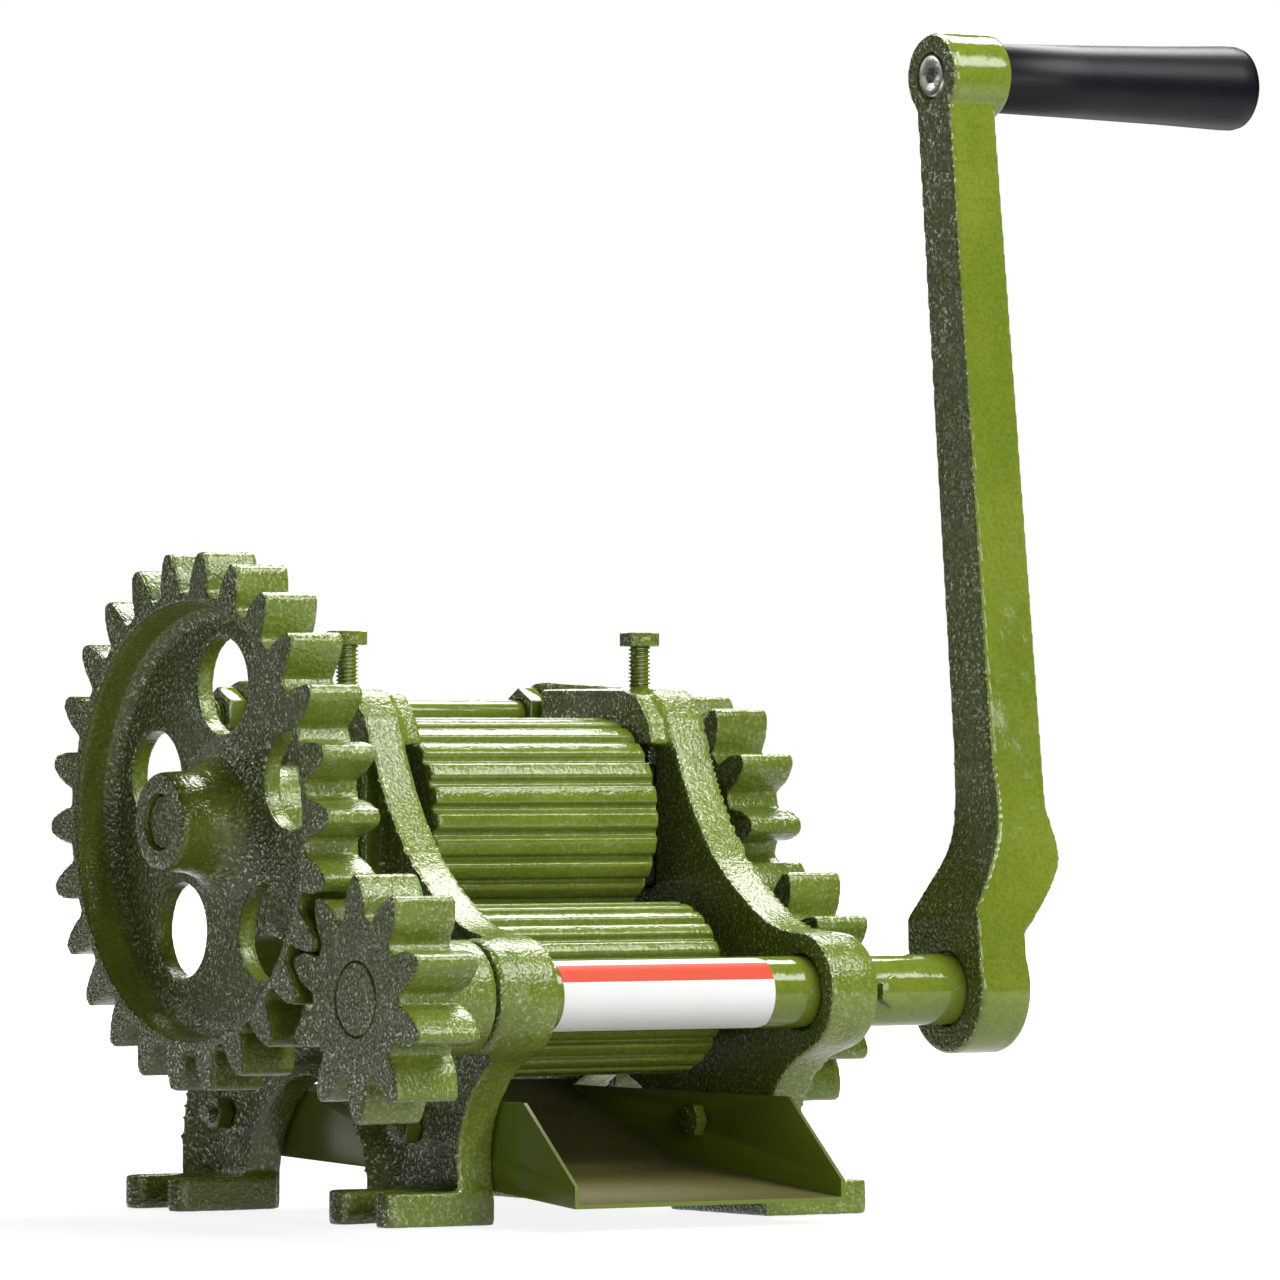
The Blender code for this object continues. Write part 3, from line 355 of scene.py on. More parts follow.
class Finish:
    """A Principled material whose maths is written as expressions."""

    def __init__(self, name, **fixed):
        self.material = bpy.data.materials.new(name)
        self.material.use_nodes = True
        self.tree = self.material.node_tree
        self.shader = self.tree.nodes["Principled BSDF"]
        for socket, value in fixed.items():
            self.shader.inputs[socket.replace("_", " ")].default_value = value

    def node(self, kind, settings=None, sockets=None, out=0):
        made = self.tree.nodes.new(kind)
        for setting, value in (settings or {}).items():
            setattr(made, setting, value)
        for socket, value in (sockets or {}).items():
            self.feed(made.inputs[socket], value)
        return Value(self, made.outputs[out])

    def feed(self, socket, value):
        if isinstance(value, Value):
            self.tree.links.new(value.socket, socket)
        else:
            socket.default_value = value

    def maths(self, operation, *values):
        return self.node("ShaderNodeMath", {"operation": operation}, dict(enumerate(values)))

    def mix(self, factor, first, second):
        """The first colour where the factor is 0, the second where it is 1."""
        return self.node("ShaderNodeMix", {"data_type": "RGBA"}, {0: factor, 6: first, 7: second}, out=2)

    def place(self):
        return self.node("ShaderNodeTexCoord", out="Object")

    def normal(self, axis):
        facing = self.node("ShaderNodeTexCoord", out="Normal")
        return self.node("ShaderNodeSeparateXYZ", None, {0: facing}, out=axis)

    def along(self, axis):
        return self.node("ShaderNodeSeparateXYZ", None, {0: self.place()}, out=axis)

    def noise(self, size, detail=2.0, roughness=0.5):
        """Noise whose blobs are about size metres across."""
        return self.node(
            "ShaderNodeTexNoise",
            None,
            {"Vector": self.place(), "Scale": 1 / size, "Detail": detail, "Roughness": roughness},
        )

    def bump(self, height, distance, strength=1.0):
        self.feed(
            self.shader.inputs["Normal"],
            self.node("ShaderNodeBump", None, {"Height": height, "Distance": distance, "Strength": strength}),
        )

    def set(self, **sockets):
        for socket, value in sockets.items():
            self.feed(self.shader.inputs[socket.replace("_", " ")], value)


OLIVE = (0.165, 0.228, 0.019, 1)
# painted shade: the enamel's colour in the pebbles' hollows and on the faces that look along X
OLIVE_PAINTED_SHADE = (0.07, 0.1, 0.009, 1)
OLIVE_PALE = (0.2, 0.27, 0.028, 1)
PRIMER = (0.34, 0.29, 0.26, 1)
GLINT = (0.78, 0.8, 0.64, 1)
JUICE_BROWN = (0.15, 0.12, 0.045, 1)
BRIGHT_STEEL = (0.56, 0.55, 0.52, 1)
TARNISHED_STEEL = (0.3, 0.28, 0.25, 1)
DARK_IRON = (0.012, 0.016, 0.008, 1)
PALE_IRON = (0.05, 0.06, 0.03, 1)
BLACK = (0.005, 0.004, 0.007, 1)
WORN_BLACK = (0.008, 0.007, 0.01, 1)
PAPER_SHADE = (0.9, 0.9, 0.89, 1)
PAPER_WHITE = (0.95, 0.95, 0.94, 1)
ORANGE = (0.72, 0.06, 0.012, 1)
BAND = (5 * MM, 10.7 * MM)  # where the label's band starts and ends, over the shaft's axis
BAND_EDGE = 0.1 * MM
PEBBLE = 1.4 * MM


def enamel(name, rough_skin, smooth_skin, gloss):
    """Green gloss paint: sand-cast pebbles under it, stronger on the faces that look along X.

    The tips of the pebbles stand clear as bright glints.
    """
    finish = Finish(name, Specular_IOR_Level=0.5)
    pebbles = finish.noise(PEBBLE, 2.0, 0.55)
    sideways = abs(finish.normal("X")).rises(0.35, 0.85)
    skin = smooth_skin + sideways * (rough_skin - smooth_skin)
    waves = finish.noise(14 * MM, 1.0)
    finish.bump(pebbles * skin + waves * 0.35, 1.1 * MM)
    thick = finish.noise(30 * MM, 3.0).rises(0.35, 0.7)
    colour = finish.mix(thick, OLIVE, OLIVE_PALE)
    # painted shade: the colour darkens in the pebbles' hollows and, more strongly, on the faces that look
    # along X
    hollow_painted_shade = 1 - pebbles.rises(0.35, 0.55)
    colour = finish.mix(hollow_painted_shade * 0.25 + sideways * 0.6, colour, OLIVE_PAINTED_SHADE)
    edge = finish.node("ShaderNodeNewGeometry", out="Pointiness").rises(0.56, 0.62)
    chips = edge * finish.noise(3 * MM, 4.0, 0.7).rises(0.6, 0.68)
    colour = finish.mix(chips, colour, PRIMER)
    patches = finish.noise(26 * MM, 2.0).rises(0.35, 0.6) * 0.45 + 0.55
    glints = pebbles.rises(0.54, 0.62) * skin * patches * finish.noise(0.9 * MM, 1.0).rises(0.42, 0.52)
    finish.set(
        Base_Color=finish.mix(glints * 0.8, colour, GLINT),
        Metallic=glints * 0.8,
        Roughness=gloss + waves * 0.06 + chips * 0.3 + glints * 0.25,
    )
    return finish.material


def sheet_enamel():
    """The tray's smoother paint; juice has dulled its floor to brown."""
    finish = Finish("tray_enamel", Specular_IOR_Level=0.5)
    grain = finish.noise(0.9 * MM, 2.0)
    upward = finish.normal("Z").rises(0.5, 0.9)
    worn = upward * (0.55 + finish.noise(20 * MM, 3.0) * 0.6)
    colour = finish.mix(worn, OLIVE, JUICE_BROWN)
    finish.bump(grain * (0.15 + upward * 0.4), 0.4 * MM)
    finish.set(Base_Color=colour, Roughness=0.24 + upward * 0.3)
    return finish.material


def bare_steel():
    """Turned steel with a fine grain and a little tarnish."""
    finish = Finish("turned_steel", Metallic=1.0)
    grain = finish.node(
        "ShaderNodeTexNoise", None, {"Vector": finish.place(), "Scale": 900.0, "Detail": 1.0}
    )
    tarnish = finish.noise(8 * MM, 3.0).rises(0.4, 0.75)
    finish.bump(grain, 0.05 * MM)
    finish.set(
        Base_Color=finish.mix(tarnish, BRIGHT_STEEL, TARNISHED_STEEL),
        Roughness=0.26 + tarnish * 0.25,
    )
    return finish.material


def oiled_casting():
    """Dark unpainted iron."""
    finish = Finish("oiled_casting", Metallic=0.3)
    pebbles = finish.noise(1.6 * MM, 3.0, 0.6)
    finish.bump(pebbles, 0.5 * MM)
    finish.set(
        Base_Color=finish.mix(pebbles, DARK_IRON, PALE_IRON),
        Roughness=0.4 + pebbles * 0.2,
    )
    return finish.material


def black_plastic():
    """Moulded grip: satin, with a very fine spark texture."""
    finish = Finish("grip_plastic", Specular_IOR_Level=0.2)
    spark = finish.noise(0.5 * MM, 2.0)
    cloud = finish.noise(22 * MM, 2.0).rises(0.3, 0.8)
    finish.bump(spark, 0.06 * MM)
    finish.set(
        Base_Color=finish.mix(cloud, BLACK, WORN_BLACK),
        Roughness=0.3 + spark * 0.12,
    )
    return finish.material


def sticker():
    """A blank white label with an orange band along its upper part."""
    finish = Finish("label_film", Specular_IOR_Level=0.25)
    height = finish.along("Z") - DRIVE[1]
    starts, ends = [height.rises(edge - BAND_EDGE, edge + BAND_EDGE) for edge in BAND]
    band = starts * (1 - ends)
    cloud = finish.noise(25 * MM, 2.0)
    white = finish.mix(cloud, PAPER_SHADE, PAPER_WHITE)
    finish.bump(cloud, 0.1 * MM)
    finish.set(Base_Color=finish.mix(band, white, ORANGE), Roughness=0.4 + cloud * 0.1)
    return finish.material


CAST = enamel("cast_enamel", 1.0, 0.35, 0.07)
FINE = enamel("smooth_enamel", 1.0, 0.04, 0.06)
ROLL = enamel("roller_enamel", 0.8, 0.16, 0.07)
SHEET = sheet_enamel()
STEEL = bare_steel()
IRON = oiled_casting()
PLASTIC = black_plastic()
PAPER = sticker()


# --- gears ---

MODULE = 7 * MM
PRESSURE = math.radians(25)
ADDENDUM = 0.88
DEDENDUM = 1.16
BACKLASH = 1.2 * MM
PROFILE_SHIFT = 0.27
TIP_ROUND = 0.8 * MM
GEAR_TEETH = 26
PINION_TEETH = 10
ROLLER_TEETH = 11
GEAR_PHASE = math.radians(-1.4)
ROLLER_GEAR_PHASE = math.radians(85)
MESH_LEAN = 0.45 * MM
GEAR_NOSE = 11.5 * MM  # the hub's length in front of the teeth
GEAR_WIDTH = 21.5 * MM
GEAR_WEB = 7 * MM
GEAR_HUB = 20 * MM
GEAR_HOLES = 5
GEAR_HOLE = 17 * MM
GEAR_HOLE_CIRCLE = 48 * MM
PINION_WIDTH = 25.3 * MM
PINION_COLLAR = 20 * MM


def involute(angle):
    return math.tan(angle) - angle


def gear_outline(teeth, shift, phase, axis, steps=7):
    """An involute gear about the axis, with the middle of one tooth at angle phase."""
    pitch = MODULE * teeth / 2
    base = pitch * math.cos(PRESSURE)
    root = pitch - (DEDENDUM - shift) * MODULE
    tip = pitch + (ADDENDUM + shift) * MODULE
    half = (math.pi / 2 + 2 * shift * math.tan(PRESSURE)) / teeth - BACKLASH / (4 * pitch)

    def flank(radius):
        return half + involute(PRESSURE) - involute(math.acos(min(1.0, base / radius)))

    start = max(base, root + TIP_ROUND)
    radii = [start + (tip - TIP_ROUND - start) * i / steps for i in range(steps + 1)]
    side = [(root, flank(start) + TIP_ROUND / root)]
    side += [(radius, flank(radius)) for radius in radii]
    side += [(tip, flank(tip) - TIP_ROUND / tip)]
    points = []
    for i in range(teeth):
        centre = phase + 2 * math.pi * i / teeth
        points += [(radius, centre - angle) for radius, angle in side]
        points += [(radius, centre + angle) for radius, angle in reversed(side)]
    return [(axis[0] + r * math.cos(a), axis[1] + r * math.sin(a)) for r, a in points]


def meshing_phase(phase, teeth, axis, other_teeth, other_axis):
    """The phase at which the other gear's teeth fall between this one's."""
    line = math.atan2(other_axis[1] - axis[1], other_axis[0] - axis[0])
    return line + math.pi - (phase - line) * teeth / other_teeth + math.pi / other_teeth


def drive_gear():
    """The big dished gear: five round holes, a long nose hub and a hub at the back."""
    nose, back = span("drive_gear")
    face = nose + GEAR_NOSE
    teeth_end = face + GEAR_WIDTH
    web = teeth_end - GEAR_WEB
    outline = gear_outline(GEAR_TEETH, -PROFILE_SHIFT, GEAR_PHASE, TOP)
    dish = [(face - REACH, 15 * MM), (face - REACH, 79 * MM), (face, 77.5 * MM), (face + 2 * MM, 76.6 * MM)]
    dish += [(web - 4 * MM, 75.4 * MM), (web, 72 * MM), (web, 15 * MM)]
    hub = [(nose, 0), (nose, 15.5 * MM), (nose + 0.6 * MM, 16.8 * MM), (nose + 2 * MM, 17.5 * MM)]
    hub += [(face, 18 * MM), (face + 6 * MM, 20 * MM), (web - 3 * MM, 24 * MM), (web - 0.5 * MM, 29 * MM)]
    hub += [(web + 2 * MM, 31 * MM), (teeth_end - MM, 24 * MM), (teeth_end + 2 * MM, GEAR_HUB)]
    hub += [(back, GEAR_HUB), (back, 0)]
    holes = []
    for i in range(GEAR_HOLES):
        angle = math.pi / 2 + 2 * math.pi * i / GEAR_HOLES
        centre = (TOP[0] + GEAR_HOLE_CIRCLE * math.cos(angle), TOP[1] + GEAR_HOLE_CIRCLE * math.sin(angle))
        holes.append(rod(web - REACH, teeth_end + REACH, GEAR_HOLE, centre))
    plate = combined("gear_plate", [prism(outline, face, teeth_end)], [turned(dish, TOP, 120)])
    item = casting(
        "drive_gear_casting",
        [shape_of(plate), turned(hub, TOP, 96)],
        holes + [rod(nose - REACH, back + REACH, TOP_END_BORE, TOP)],
        rounding=2,
    )
    stands_for(item, "drive_gear", "top_roller_set", CAST)


def shape_of(item):
    """Turn an object back into a shape and remove it."""
    bm = bmesh.new()
    bm.from_mesh(item.data)
    bpy.data.objects.remove(item)
    return bm


def drive_pinion():
    face, end = span("drive_pinion")
    teeth_end = face + PINION_WIDTH
    phase = meshing_phase(GEAR_PHASE, GEAR_TEETH, TOP, PINION_TEETH, DRIVE)
    phase += MESH_LEAN / (MODULE * PINION_TEETH / 2)
    outline = gear_outline(PINION_TEETH, PROFILE_SHIFT, phase, DRIVE)
    item = casting(
        "drive_pinion_casting",
        [prism(outline, face, teeth_end), rod(teeth_end - REACH, end, PINION_COLLAR, DRIVE, 96, 0.8 * MM)],
        [rod(face - REACH, end + REACH, DRIVE_BORE, DRIVE)],
        voxel=0.8 * MM,
        rounding=3,
    )
    stands_for(item, "drive_pinion", "crank_set", CAST)


def roller_gears():
    """Three equal gears at the right end; the lower two mesh with the top one."""
    lower = (("front", FRONT, LOWER_BORE), ("rear", REAR, LOWER_BORE))
    for name, axis, bore in (("top", TOP, TOP_END_BORE), *lower):
        phase = ROLLER_GEAR_PHASE
        if name != "top":
            phase = meshing_phase(phase, ROLLER_TEETH, TOP, ROLLER_TEETH, axis)
        start, end = span(f"{name}_roller_gear")
        item = casting(
            f"{name}_gear_casting",
            [prism(gear_outline(ROLLER_TEETH, 0, phase, axis), start, end)],
            [rod(start - REACH, end + REACH, bore, axis)],
            voxel=0.9 * MM,
            rounding=3,
        )
        stands_for(item, f"{name}_roller_gear", f"{name}_roller_set", CAST)


# --- rollers ---

FLUTES = 24
FLUTE_DEPTH = 2.6 * MM
FLUTE_SHARE = 0.36
FLUTE_STEPS = 6
FLUTE_FULLNESS = 2.5  # 2 gives an elliptic groove, more a squarer one
RIB_CROWN = 0.15 * MM
TOP_ROLLER_RADIUS = 36.5 * MM
LOWER_ROLLER_RADIUS = 30.5 * MM
ROLLER_CORNER = 4 * MM


def roller_outline(radius, axis):
    """Flat-topped ribs with narrow round-bottomed grooves between them."""
    groove = FLUTE_SHARE * math.pi / FLUTES
    points = []
    for i in range(FLUTES):
        centre = 2 * math.pi * (i + 0.5) / FLUTES
        for step in range(-FLUTE_STEPS, FLUTE_STEPS + 1):
            share = step / FLUTE_STEPS
            depth = FLUTE_DEPTH * math.sqrt(1 - abs(share) ** FLUTE_FULLNESS)
            points.append((radius - depth, centre + share * groove))
        rib = 2 * math.pi / FLUTES - 2 * groove
        points += [(radius + RIB_CROWN, centre + groove + rib * share) for share in (0.3, 0.5, 0.7)]
    return [(axis[0] + r * math.cos(a), axis[1] + r * math.sin(a)) for r, a in points]


def rollers():
    """Fluted bars, kept within a barrel that rounds their ends."""
    start, end = ROLLER
    turns = [i * math.pi / 16 for i in range(9)]
    corner = [(ROLLER_CORNER * (1 - math.cos(a)), ROLLER_CORNER * (1 - math.sin(a))) for a in turns]
    for name, axis, radius, bore in (
        ("top", TOP, TOP_ROLLER_RADIUS, TOP_BORE),
        ("front", FRONT, LOWER_ROLLER_RADIUS, LOWER_BORE),
        ("rear", REAR, LOWER_ROLLER_RADIUS, LOWER_BORE),
    ):
        clear = radius + MM
        barrel = [(start, 0)] + [(start + x, clear - drop) for x, drop in corner]
        barrel += [(end - x, clear - drop) for x, drop in reversed(corner)] + [(end, 0)]
        item = casting(
            f"{name}_roller_casting",
            [prism(roller_outline(radius, axis), start - REACH, end + REACH)],
            [rod(start - REACH, end + REACH, bore, axis)],
            [turned(barrel, axis, 120)],
            voxel=0.8 * MM,
            rounding=2,
            unevenness=0.2 * MM,
        )
        stands_for(item, f"{name}_roller", f"{name}_roller_set", ROLL)


# --- side frames ---

WEB = 7 * MM
RIM_WIDTH = 16 * MM
RIM = 8 * MM
SOLE = 12 * MM
PRONG = 10.5 * MM
PLATE_BOSS = 21 * MM  # of the plate's outline, round the drive shaft
TIE_EAR = 12 * MM
ARCH = 41 * MM
WINDOW_CUT = (-12 * MM, 20 * MM)  # where the cuts through a frame start and end, past its bosses
SHAFT_CUT = (-12 * MM, 27 * MM)
TIE_CUT = (-10 * MM, 30 * MM)
FOOT_REACH = 45.5 * MM
SLOT_DEPTH = 24 * MM
FEET = ((-90 * MM, -49 * MM), (51 * MM, 91 * MM))
BOSS_IN = 8.2 * MM  # how far the lower bosses and the crown stand inside the plate
LOWER_BOSS = 18 * MM
LOWER_BOSS_OUT = 22.5 * MM
DRIVE_BOSS = 20.5 * MM
DRIVE_BOSS_OUT = {-1: 24.5 * MM, 1: 21 * MM}
TIE_BOSS = 11.5 * MM
TIE_BOSS_IN = 2.3 * MM
TIE_BOSS_OUT = RIM_WIDTH + 1.5 * MM
NUT_PAD = 8.25 * MM
CHEEKS = ((-26 * MM, 108 * MM), (26 * MM, 168 * MM))
WINDOW = ((-18 * MM, 116 * MM), (18 * MM, 167 * MM))
ADJUSTER_BORE = 4.25 * MM


def frame_outline():
    """The plate from the side: front leg, drive shaft boss, throat, crown, tie rod ear and rear leg."""
    boss = arc(DRIVE, PLATE_BOSS, -112, -265, 36)
    front_leg = [(-90, 9), (-88, 20), (-89, 31), (-94.5, 43), (-105, 54)]
    front_leg = [from_top(y * MM, z * MM) for y, z in front_leg] + [boss[0]]
    throat = [(-96, 103), (-80, 110), (-58, 126), (-42, 146), (-33, 163), (-27, 177)]
    throat = [boss[-1]] + [from_top(y * MM, z * MM) for y, z in throat]
    crown = [throat[-1], from_top(-18 * MM, CROWN_TOP - 2 * MM), from_top(-6 * MM, CROWN_TOP)]
    ear = arc(TIE, TIE_EAR, 100, 5, 12)
    rear = [(70, 150), (73, 125), (79, 97), (88, 66), (97, 36), (100, 18)]
    rear = [ear[-1]] + [from_top(y * MM, z * MM) for y, z in rear]
    arch = arc(from_top(13 * MM, 8 * MM), ARCH, 0, 180, 40)
    up = [from_top(-90 * MM, 0)] + smooth(front_leg, 6)[:-1] + boss[:-1]
    up += smooth(throat, 6)[:-1] + smooth(crown, 6) + ear
    down = smooth(rear, 6)[1:] + [from_top(100 * MM, 0)]
    return list(reversed(up + down + [(arch[0][0], 0)] + arch + [(arch[-1][0], 0)]))


def frame_plate(side):
    """The plate, with a pocket sunk in its outer face inside a rim."""
    bm = prism(frame_outline(), x_at(side * INNER), x_at(side * (INNER + RIM_WIDTH)))

    def outer_face():
        flat = [face for face in bm.faces if abs(face.normal.x) > 0.99 and len(face.verts) > 8]
        return max(flat, key=lambda face: side * face.calc_center_median().x)

    bmesh.ops.inset_region(bm, faces=[outer_face()], thickness=RIM, use_even_offset=True)
    bmesh.ops.translate(bm, vec=(-side * (RIM_WIDTH - WEB), 0, 0), verts=outer_face().verts)
    bmesh.ops.recalc_face_normals(bm, faces=bm.faces)
    return bm


def foot(side, low, high):
    """A forked foot: two round-ended prongs with a slot between them."""
    reach = INNER + FOOT_REACH
    round_end = PRONG / 2
    near = arc((reach - round_end, low + round_end), round_end, -90, 90, 12)
    far = arc((reach - round_end, high - round_end), round_end, -90, 90, 12)
    slot = arc((reach - SLOT_DEPTH, (low + high) / 2), (high - low) / 2 - PRONG, 270, 90, 16)
    outline = [(INNER + WEB / 2, low)] + near + slot + far + [(INNER + WEB / 2, high)]
    return prism([(x_at(side * x), TOP[0] + y) for x, y in outline], 0, SOLE, "Z")


def side_frames():
    """Each frame: the plate, its bosses and feet, and the cuts for what passes through it."""
    for side, name in ((-1, "left"), (1, "right")):

        def out(*distances):
            return [x_at(side * (INNER + distance)) for distance in distances]

        shapes = [frame_plate(side)]
        for axis in (FRONT, REAR):
            shapes.append(rod(*out(-BOSS_IN, LOWER_BOSS_OUT), LOWER_BOSS, axis, edge=MM))
        shapes.append(rod(*out(MM, DRIVE_BOSS_OUT[side]), DRIVE_BOSS, DRIVE, 96, 1.5 * MM))
        shapes.append(rod(*out(-TIE_BOSS_IN, TIE_BOSS_OUT), TIE_BOSS, TIE, 64, MM))
        crown = [(45, 167), (45, 187), (-6, 187), (-18, 185), (-26, 176), (-29, 167)]
        crown = [from_top(y * MM, z * MM) for y, z in crown]
        shapes.append(prism(crown, *out(-BOSS_IN, RIM_WIDTH - MM)))
        cheeks = [from_top(*corner) for corner in CHEEKS]
        shapes.append(box_at(*out(WEB / 2, RIM_WIDTH - MM), *cheeks))
        shapes += [foot(side, low, high) for low, high in FEET]
        window = [from_top(*corner) for corner in WINDOW]
        cuts = [box_at(*out(*WINDOW_CUT), *window)]
        for axis, bore in ((FRONT, LOWER_BORE), (REAR, LOWER_BORE), (DRIVE, DRIVE_BORE)):
            cuts.append(rod(*out(*SHAFT_CUT), bore, axis))
        cuts.append(rod(*out(*TIE_CUT), TIE_BORE, TIE))
        for place in TRAY_BOLTS:
            shapes.append(rod(*out(WEB / 2, 9 * MM), NUT_PAD, from_top(*place), 48, MM))
            cuts.append(rod(*out(-REACH, 12 * MM), TRAY_BOLT_BORE, from_top(*place), THIN_SIDES))
        drill = rod(0, 40 * MM, ADJUSTER_BORE, (0, 0), THIN_SIDES)
        cuts.append(pointed(drill, (*middle_xy(f"{name}_adjusting_bolt"), 160 * MM)))
        item = casting(
            f"{name}_frame_casting", shapes, cuts, voxel=1.06 * MM, rounding=8, unevenness=0.35 * MM
        )
        stands_for(item, f"{name}_side_frame", "frame_set", CAST)


def middle_xy(node):
    low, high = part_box(node)
    return ((low[0] + high[0]) / 2, (low[1] + high[1]) / 2)


# --- shafts, bolts and nuts ---

DRIVE_RADIUS = 12.7 * MM
LOWER_RADIUS = 11 * MM
TOP_RADIUS = 12.5 * MM
TOP_END_RADIUS = 9.5 * MM
TOP_SHOULDER = 76 * MM
STOP_BOLT_RADIUS = 3 * MM
STOP_BOLT_LENGTH = 9 * MM
STOP_BOLT_HEAD = 3 * MM
STOP_BOLT_FLATS = 10 * MM
ADJUSTER_RADIUS = 3.95 * MM
ADJUSTER_PITCH = 1.41 * MM
ADJUSTER_HEAD = 5 * MM
ADJUSTER_FLATS = 12.6 * MM
TIE_RADIUS = 5.5 * MM
TIE_CORE = 5.2 * MM
TIE_PITCH = 1.6 * MM
TIE_THREAD = 36 * MM
TIE_FLATS = 17 * MM
TRAY_BOLT_RADIUS = 3.2 * MM
TRAY_BOLT_PITCH = 1.2 * MM
TRAY_BOLT_HEAD = 4.2 * MM
TRAY_BOLT_FLATS = 11 * MM


def drive_shaft():
    """The bar, and the small stop bolt that is screwed into its front."""
    start, end = span("drive_shaft")
    bolt_x = sum(span("stop_bolt")) / 2
    bolt_z = middle("stop_bolt")[1]
    bar = rod(start, end, DRIVE_RADIUS, DRIVE, 120, 0.6 * MM)
    drill = rod(0, 14 * MM, STOP_BOLT_RADIUS + 0.3 * MM, (0, 0), THIN_SIDES)
    drill = pointed(drill, (bolt_x, DRIVE[0] - 3 * MM, DRIVE[1]), "front")
    item = machined("drive_shaft_bar", [bar], [drill], edge=0)
    stands_for(item, "drive_shaft", "crank_set", FINE)
    shank = thread(0, STOP_BOLT_LENGTH, STOP_BOLT_RADIUS, MM, (0, 0))
    shank = pointed(shank, (bolt_x, DRIVE[0] - 4.4 * MM, DRIVE[1]), "front")
    head = hexagon(0, STOP_BOLT_HEAD, STOP_BOLT_FLATS, (0, 0), math.pi / 6)
    head = pointed(head, (bolt_x, DRIVE[0] - DRIVE_RADIUS - 0.3 * MM, bolt_z), "front")
    item = machined("stop_bolt_head", [head, shank], edge=0)
    stands_for(item, "stop_bolt", "crank_set", FINE)


def roller_shafts():
    """The stepped top shaft and the two plain lower ones."""
    start, end = span("top_shaft")
    left, right = x_at(-TOP_SHOULDER), x_at(TOP_SHOULDER)
    profile = [(start, 0), (start, TOP_END_RADIUS - 0.6 * MM), (start + 0.6 * MM, TOP_END_RADIUS)]
    profile += [(left, TOP_END_RADIUS), (left, TOP_RADIUS), (right, TOP_RADIUS), (right, TOP_END_RADIUS)]
    profile += [(end - 0.8 * MM, TOP_END_RADIUS), (end, TOP_END_RADIUS - 0.8 * MM), (end, 0)]
    item = machined("top_shaft_bar", [turned(profile, TOP, 96)], edge=0)
    stands_for(item, "top_shaft", "top_roller_set", FINE)
    for name, axis in (("front", FRONT), ("rear", REAR)):
        bar = rod(*span(f"{name}_shaft"), LOWER_RADIUS, axis, 96, 0.8 * MM)
        item = machined(f"{name}_shaft_bar", [bar], edge=0)
        stands_for(item, f"{name}_shaft", f"{name}_roller_set", FINE)


def top_bearings():
    """Two plain blocks of dark iron that slide in the frames' windows."""
    for name in ("left", "right"):
        low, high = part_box(f"{name}_top_bearing")
        block = box_at(low[0], high[0], (low[1], low[2]), (high[1], high[2]))
        item = casting(
            f"{name}_bearing_block",
            [block],
            [rod(low[0] - REACH, high[0] + REACH, TOP_BORE, TOP)],
            voxel=0.9 * MM,
            rounding=3,
            unevenness=0.15 * MM,
        )
        stands_for(item, f"{name}_top_bearing", "top_bearings", IRON)


def adjusting_bolts():
    """Hexagon bolts that stand in the crowns and press on the top bearings."""
    for name in ("left", "right"):
        low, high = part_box(f"{name}_adjusting_bolt")
        head = high[2] - ADJUSTER_HEAD - low[2]
        shank = thread(0, head + MM, ADJUSTER_RADIUS, ADJUSTER_PITCH, (0, 0), THIN_SIDES)
        cap = hexagon(head, head + ADJUSTER_HEAD, ADJUSTER_FLATS, (0, 0))
        lying = shape_of(machined(f"{name}_adjusting_bolt_threaded", [shank, cap], edge=0))
        place = (*middle_xy(f"{name}_adjusting_bolt"), low[2])
        item = as_object(pointed(lying, place), f"{name}_adjuster")
        item.data.shade_smooth()
        item.data.set_sharp_from_angle(angle=math.radians(30))
        stands_for(item, f"{name}_adjusting_bolt", f"{name}_adjuster", FINE)


def nut(node, body, flats, bore, turn=0.0):
    """A hexagon nut in place of a CAD nut."""
    start, end = span(node)
    axis = middle(node)
    item = machined(
        f"{node}_hexagon",
        [hexagon(start, end, flats, axis, turn)],
        [rod(start - REACH, end + REACH, bore, axis, THIN_SIDES)],
        edge=0,
    )
    return stands_for(item, node, body, FINE)


def tie_rod():
    """A rod threaded at both ends, with a nut on each side of each frame."""
    start, end = span("tie_rod")
    left, right = start + TIE_THREAD, end - TIE_THREAD
    shapes = [rod(left - MM, right + MM, TIE_CORE, TIE, 64, 0.5 * MM)]
    shapes.append(thread(start, left, TIE_RADIUS, TIE_PITCH, TIE, THIN_SIDES))
    shapes.append(thread(right, end, TIE_RADIUS, TIE_PITCH, TIE, THIN_SIDES))
    item = machined("tie_rod_threaded", shapes, edge=0)
    stands_for(item, "tie_rod", "frame_set", FINE)
    for side in ("left", "right"):
        for where in ("inner", "outer"):
            nut(f"{side}_{where}_tie_nut", "frame_set", TIE_FLATS, TIE_BORE, math.pi / 6)


def tray_fasteners():
    """Bolts through the tray's walls from inside, with their nuts on the frames."""
    for side, sign in (("left", -1), ("right", 1)):
        for end in ("front", "rear"):
            nut(f"{side}_{end}_tray_nut", "frame_set", TRAY_BOLT_FLATS, TRAY_BOLT_BORE)
            node = f"{side}_{end}_tray_bolt"
            near, far = sorted(span(node), key=lambda x: sign * x)
            axis = middle(node)
            head = hexagon(near, near + sign * TRAY_BOLT_HEAD, TRAY_BOLT_FLATS, axis)
            neck = near + sign * (TRAY_BOLT_HEAD - 0.7 * MM)
            shank = thread(neck, far, TRAY_BOLT_RADIUS, TRAY_BOLT_PITCH, axis)
            item = machined(f"{node}_threaded", [head, shank], edge=0)
            stands_for(item, node, "frame_set", FINE)


# --- crank, grip and label ---

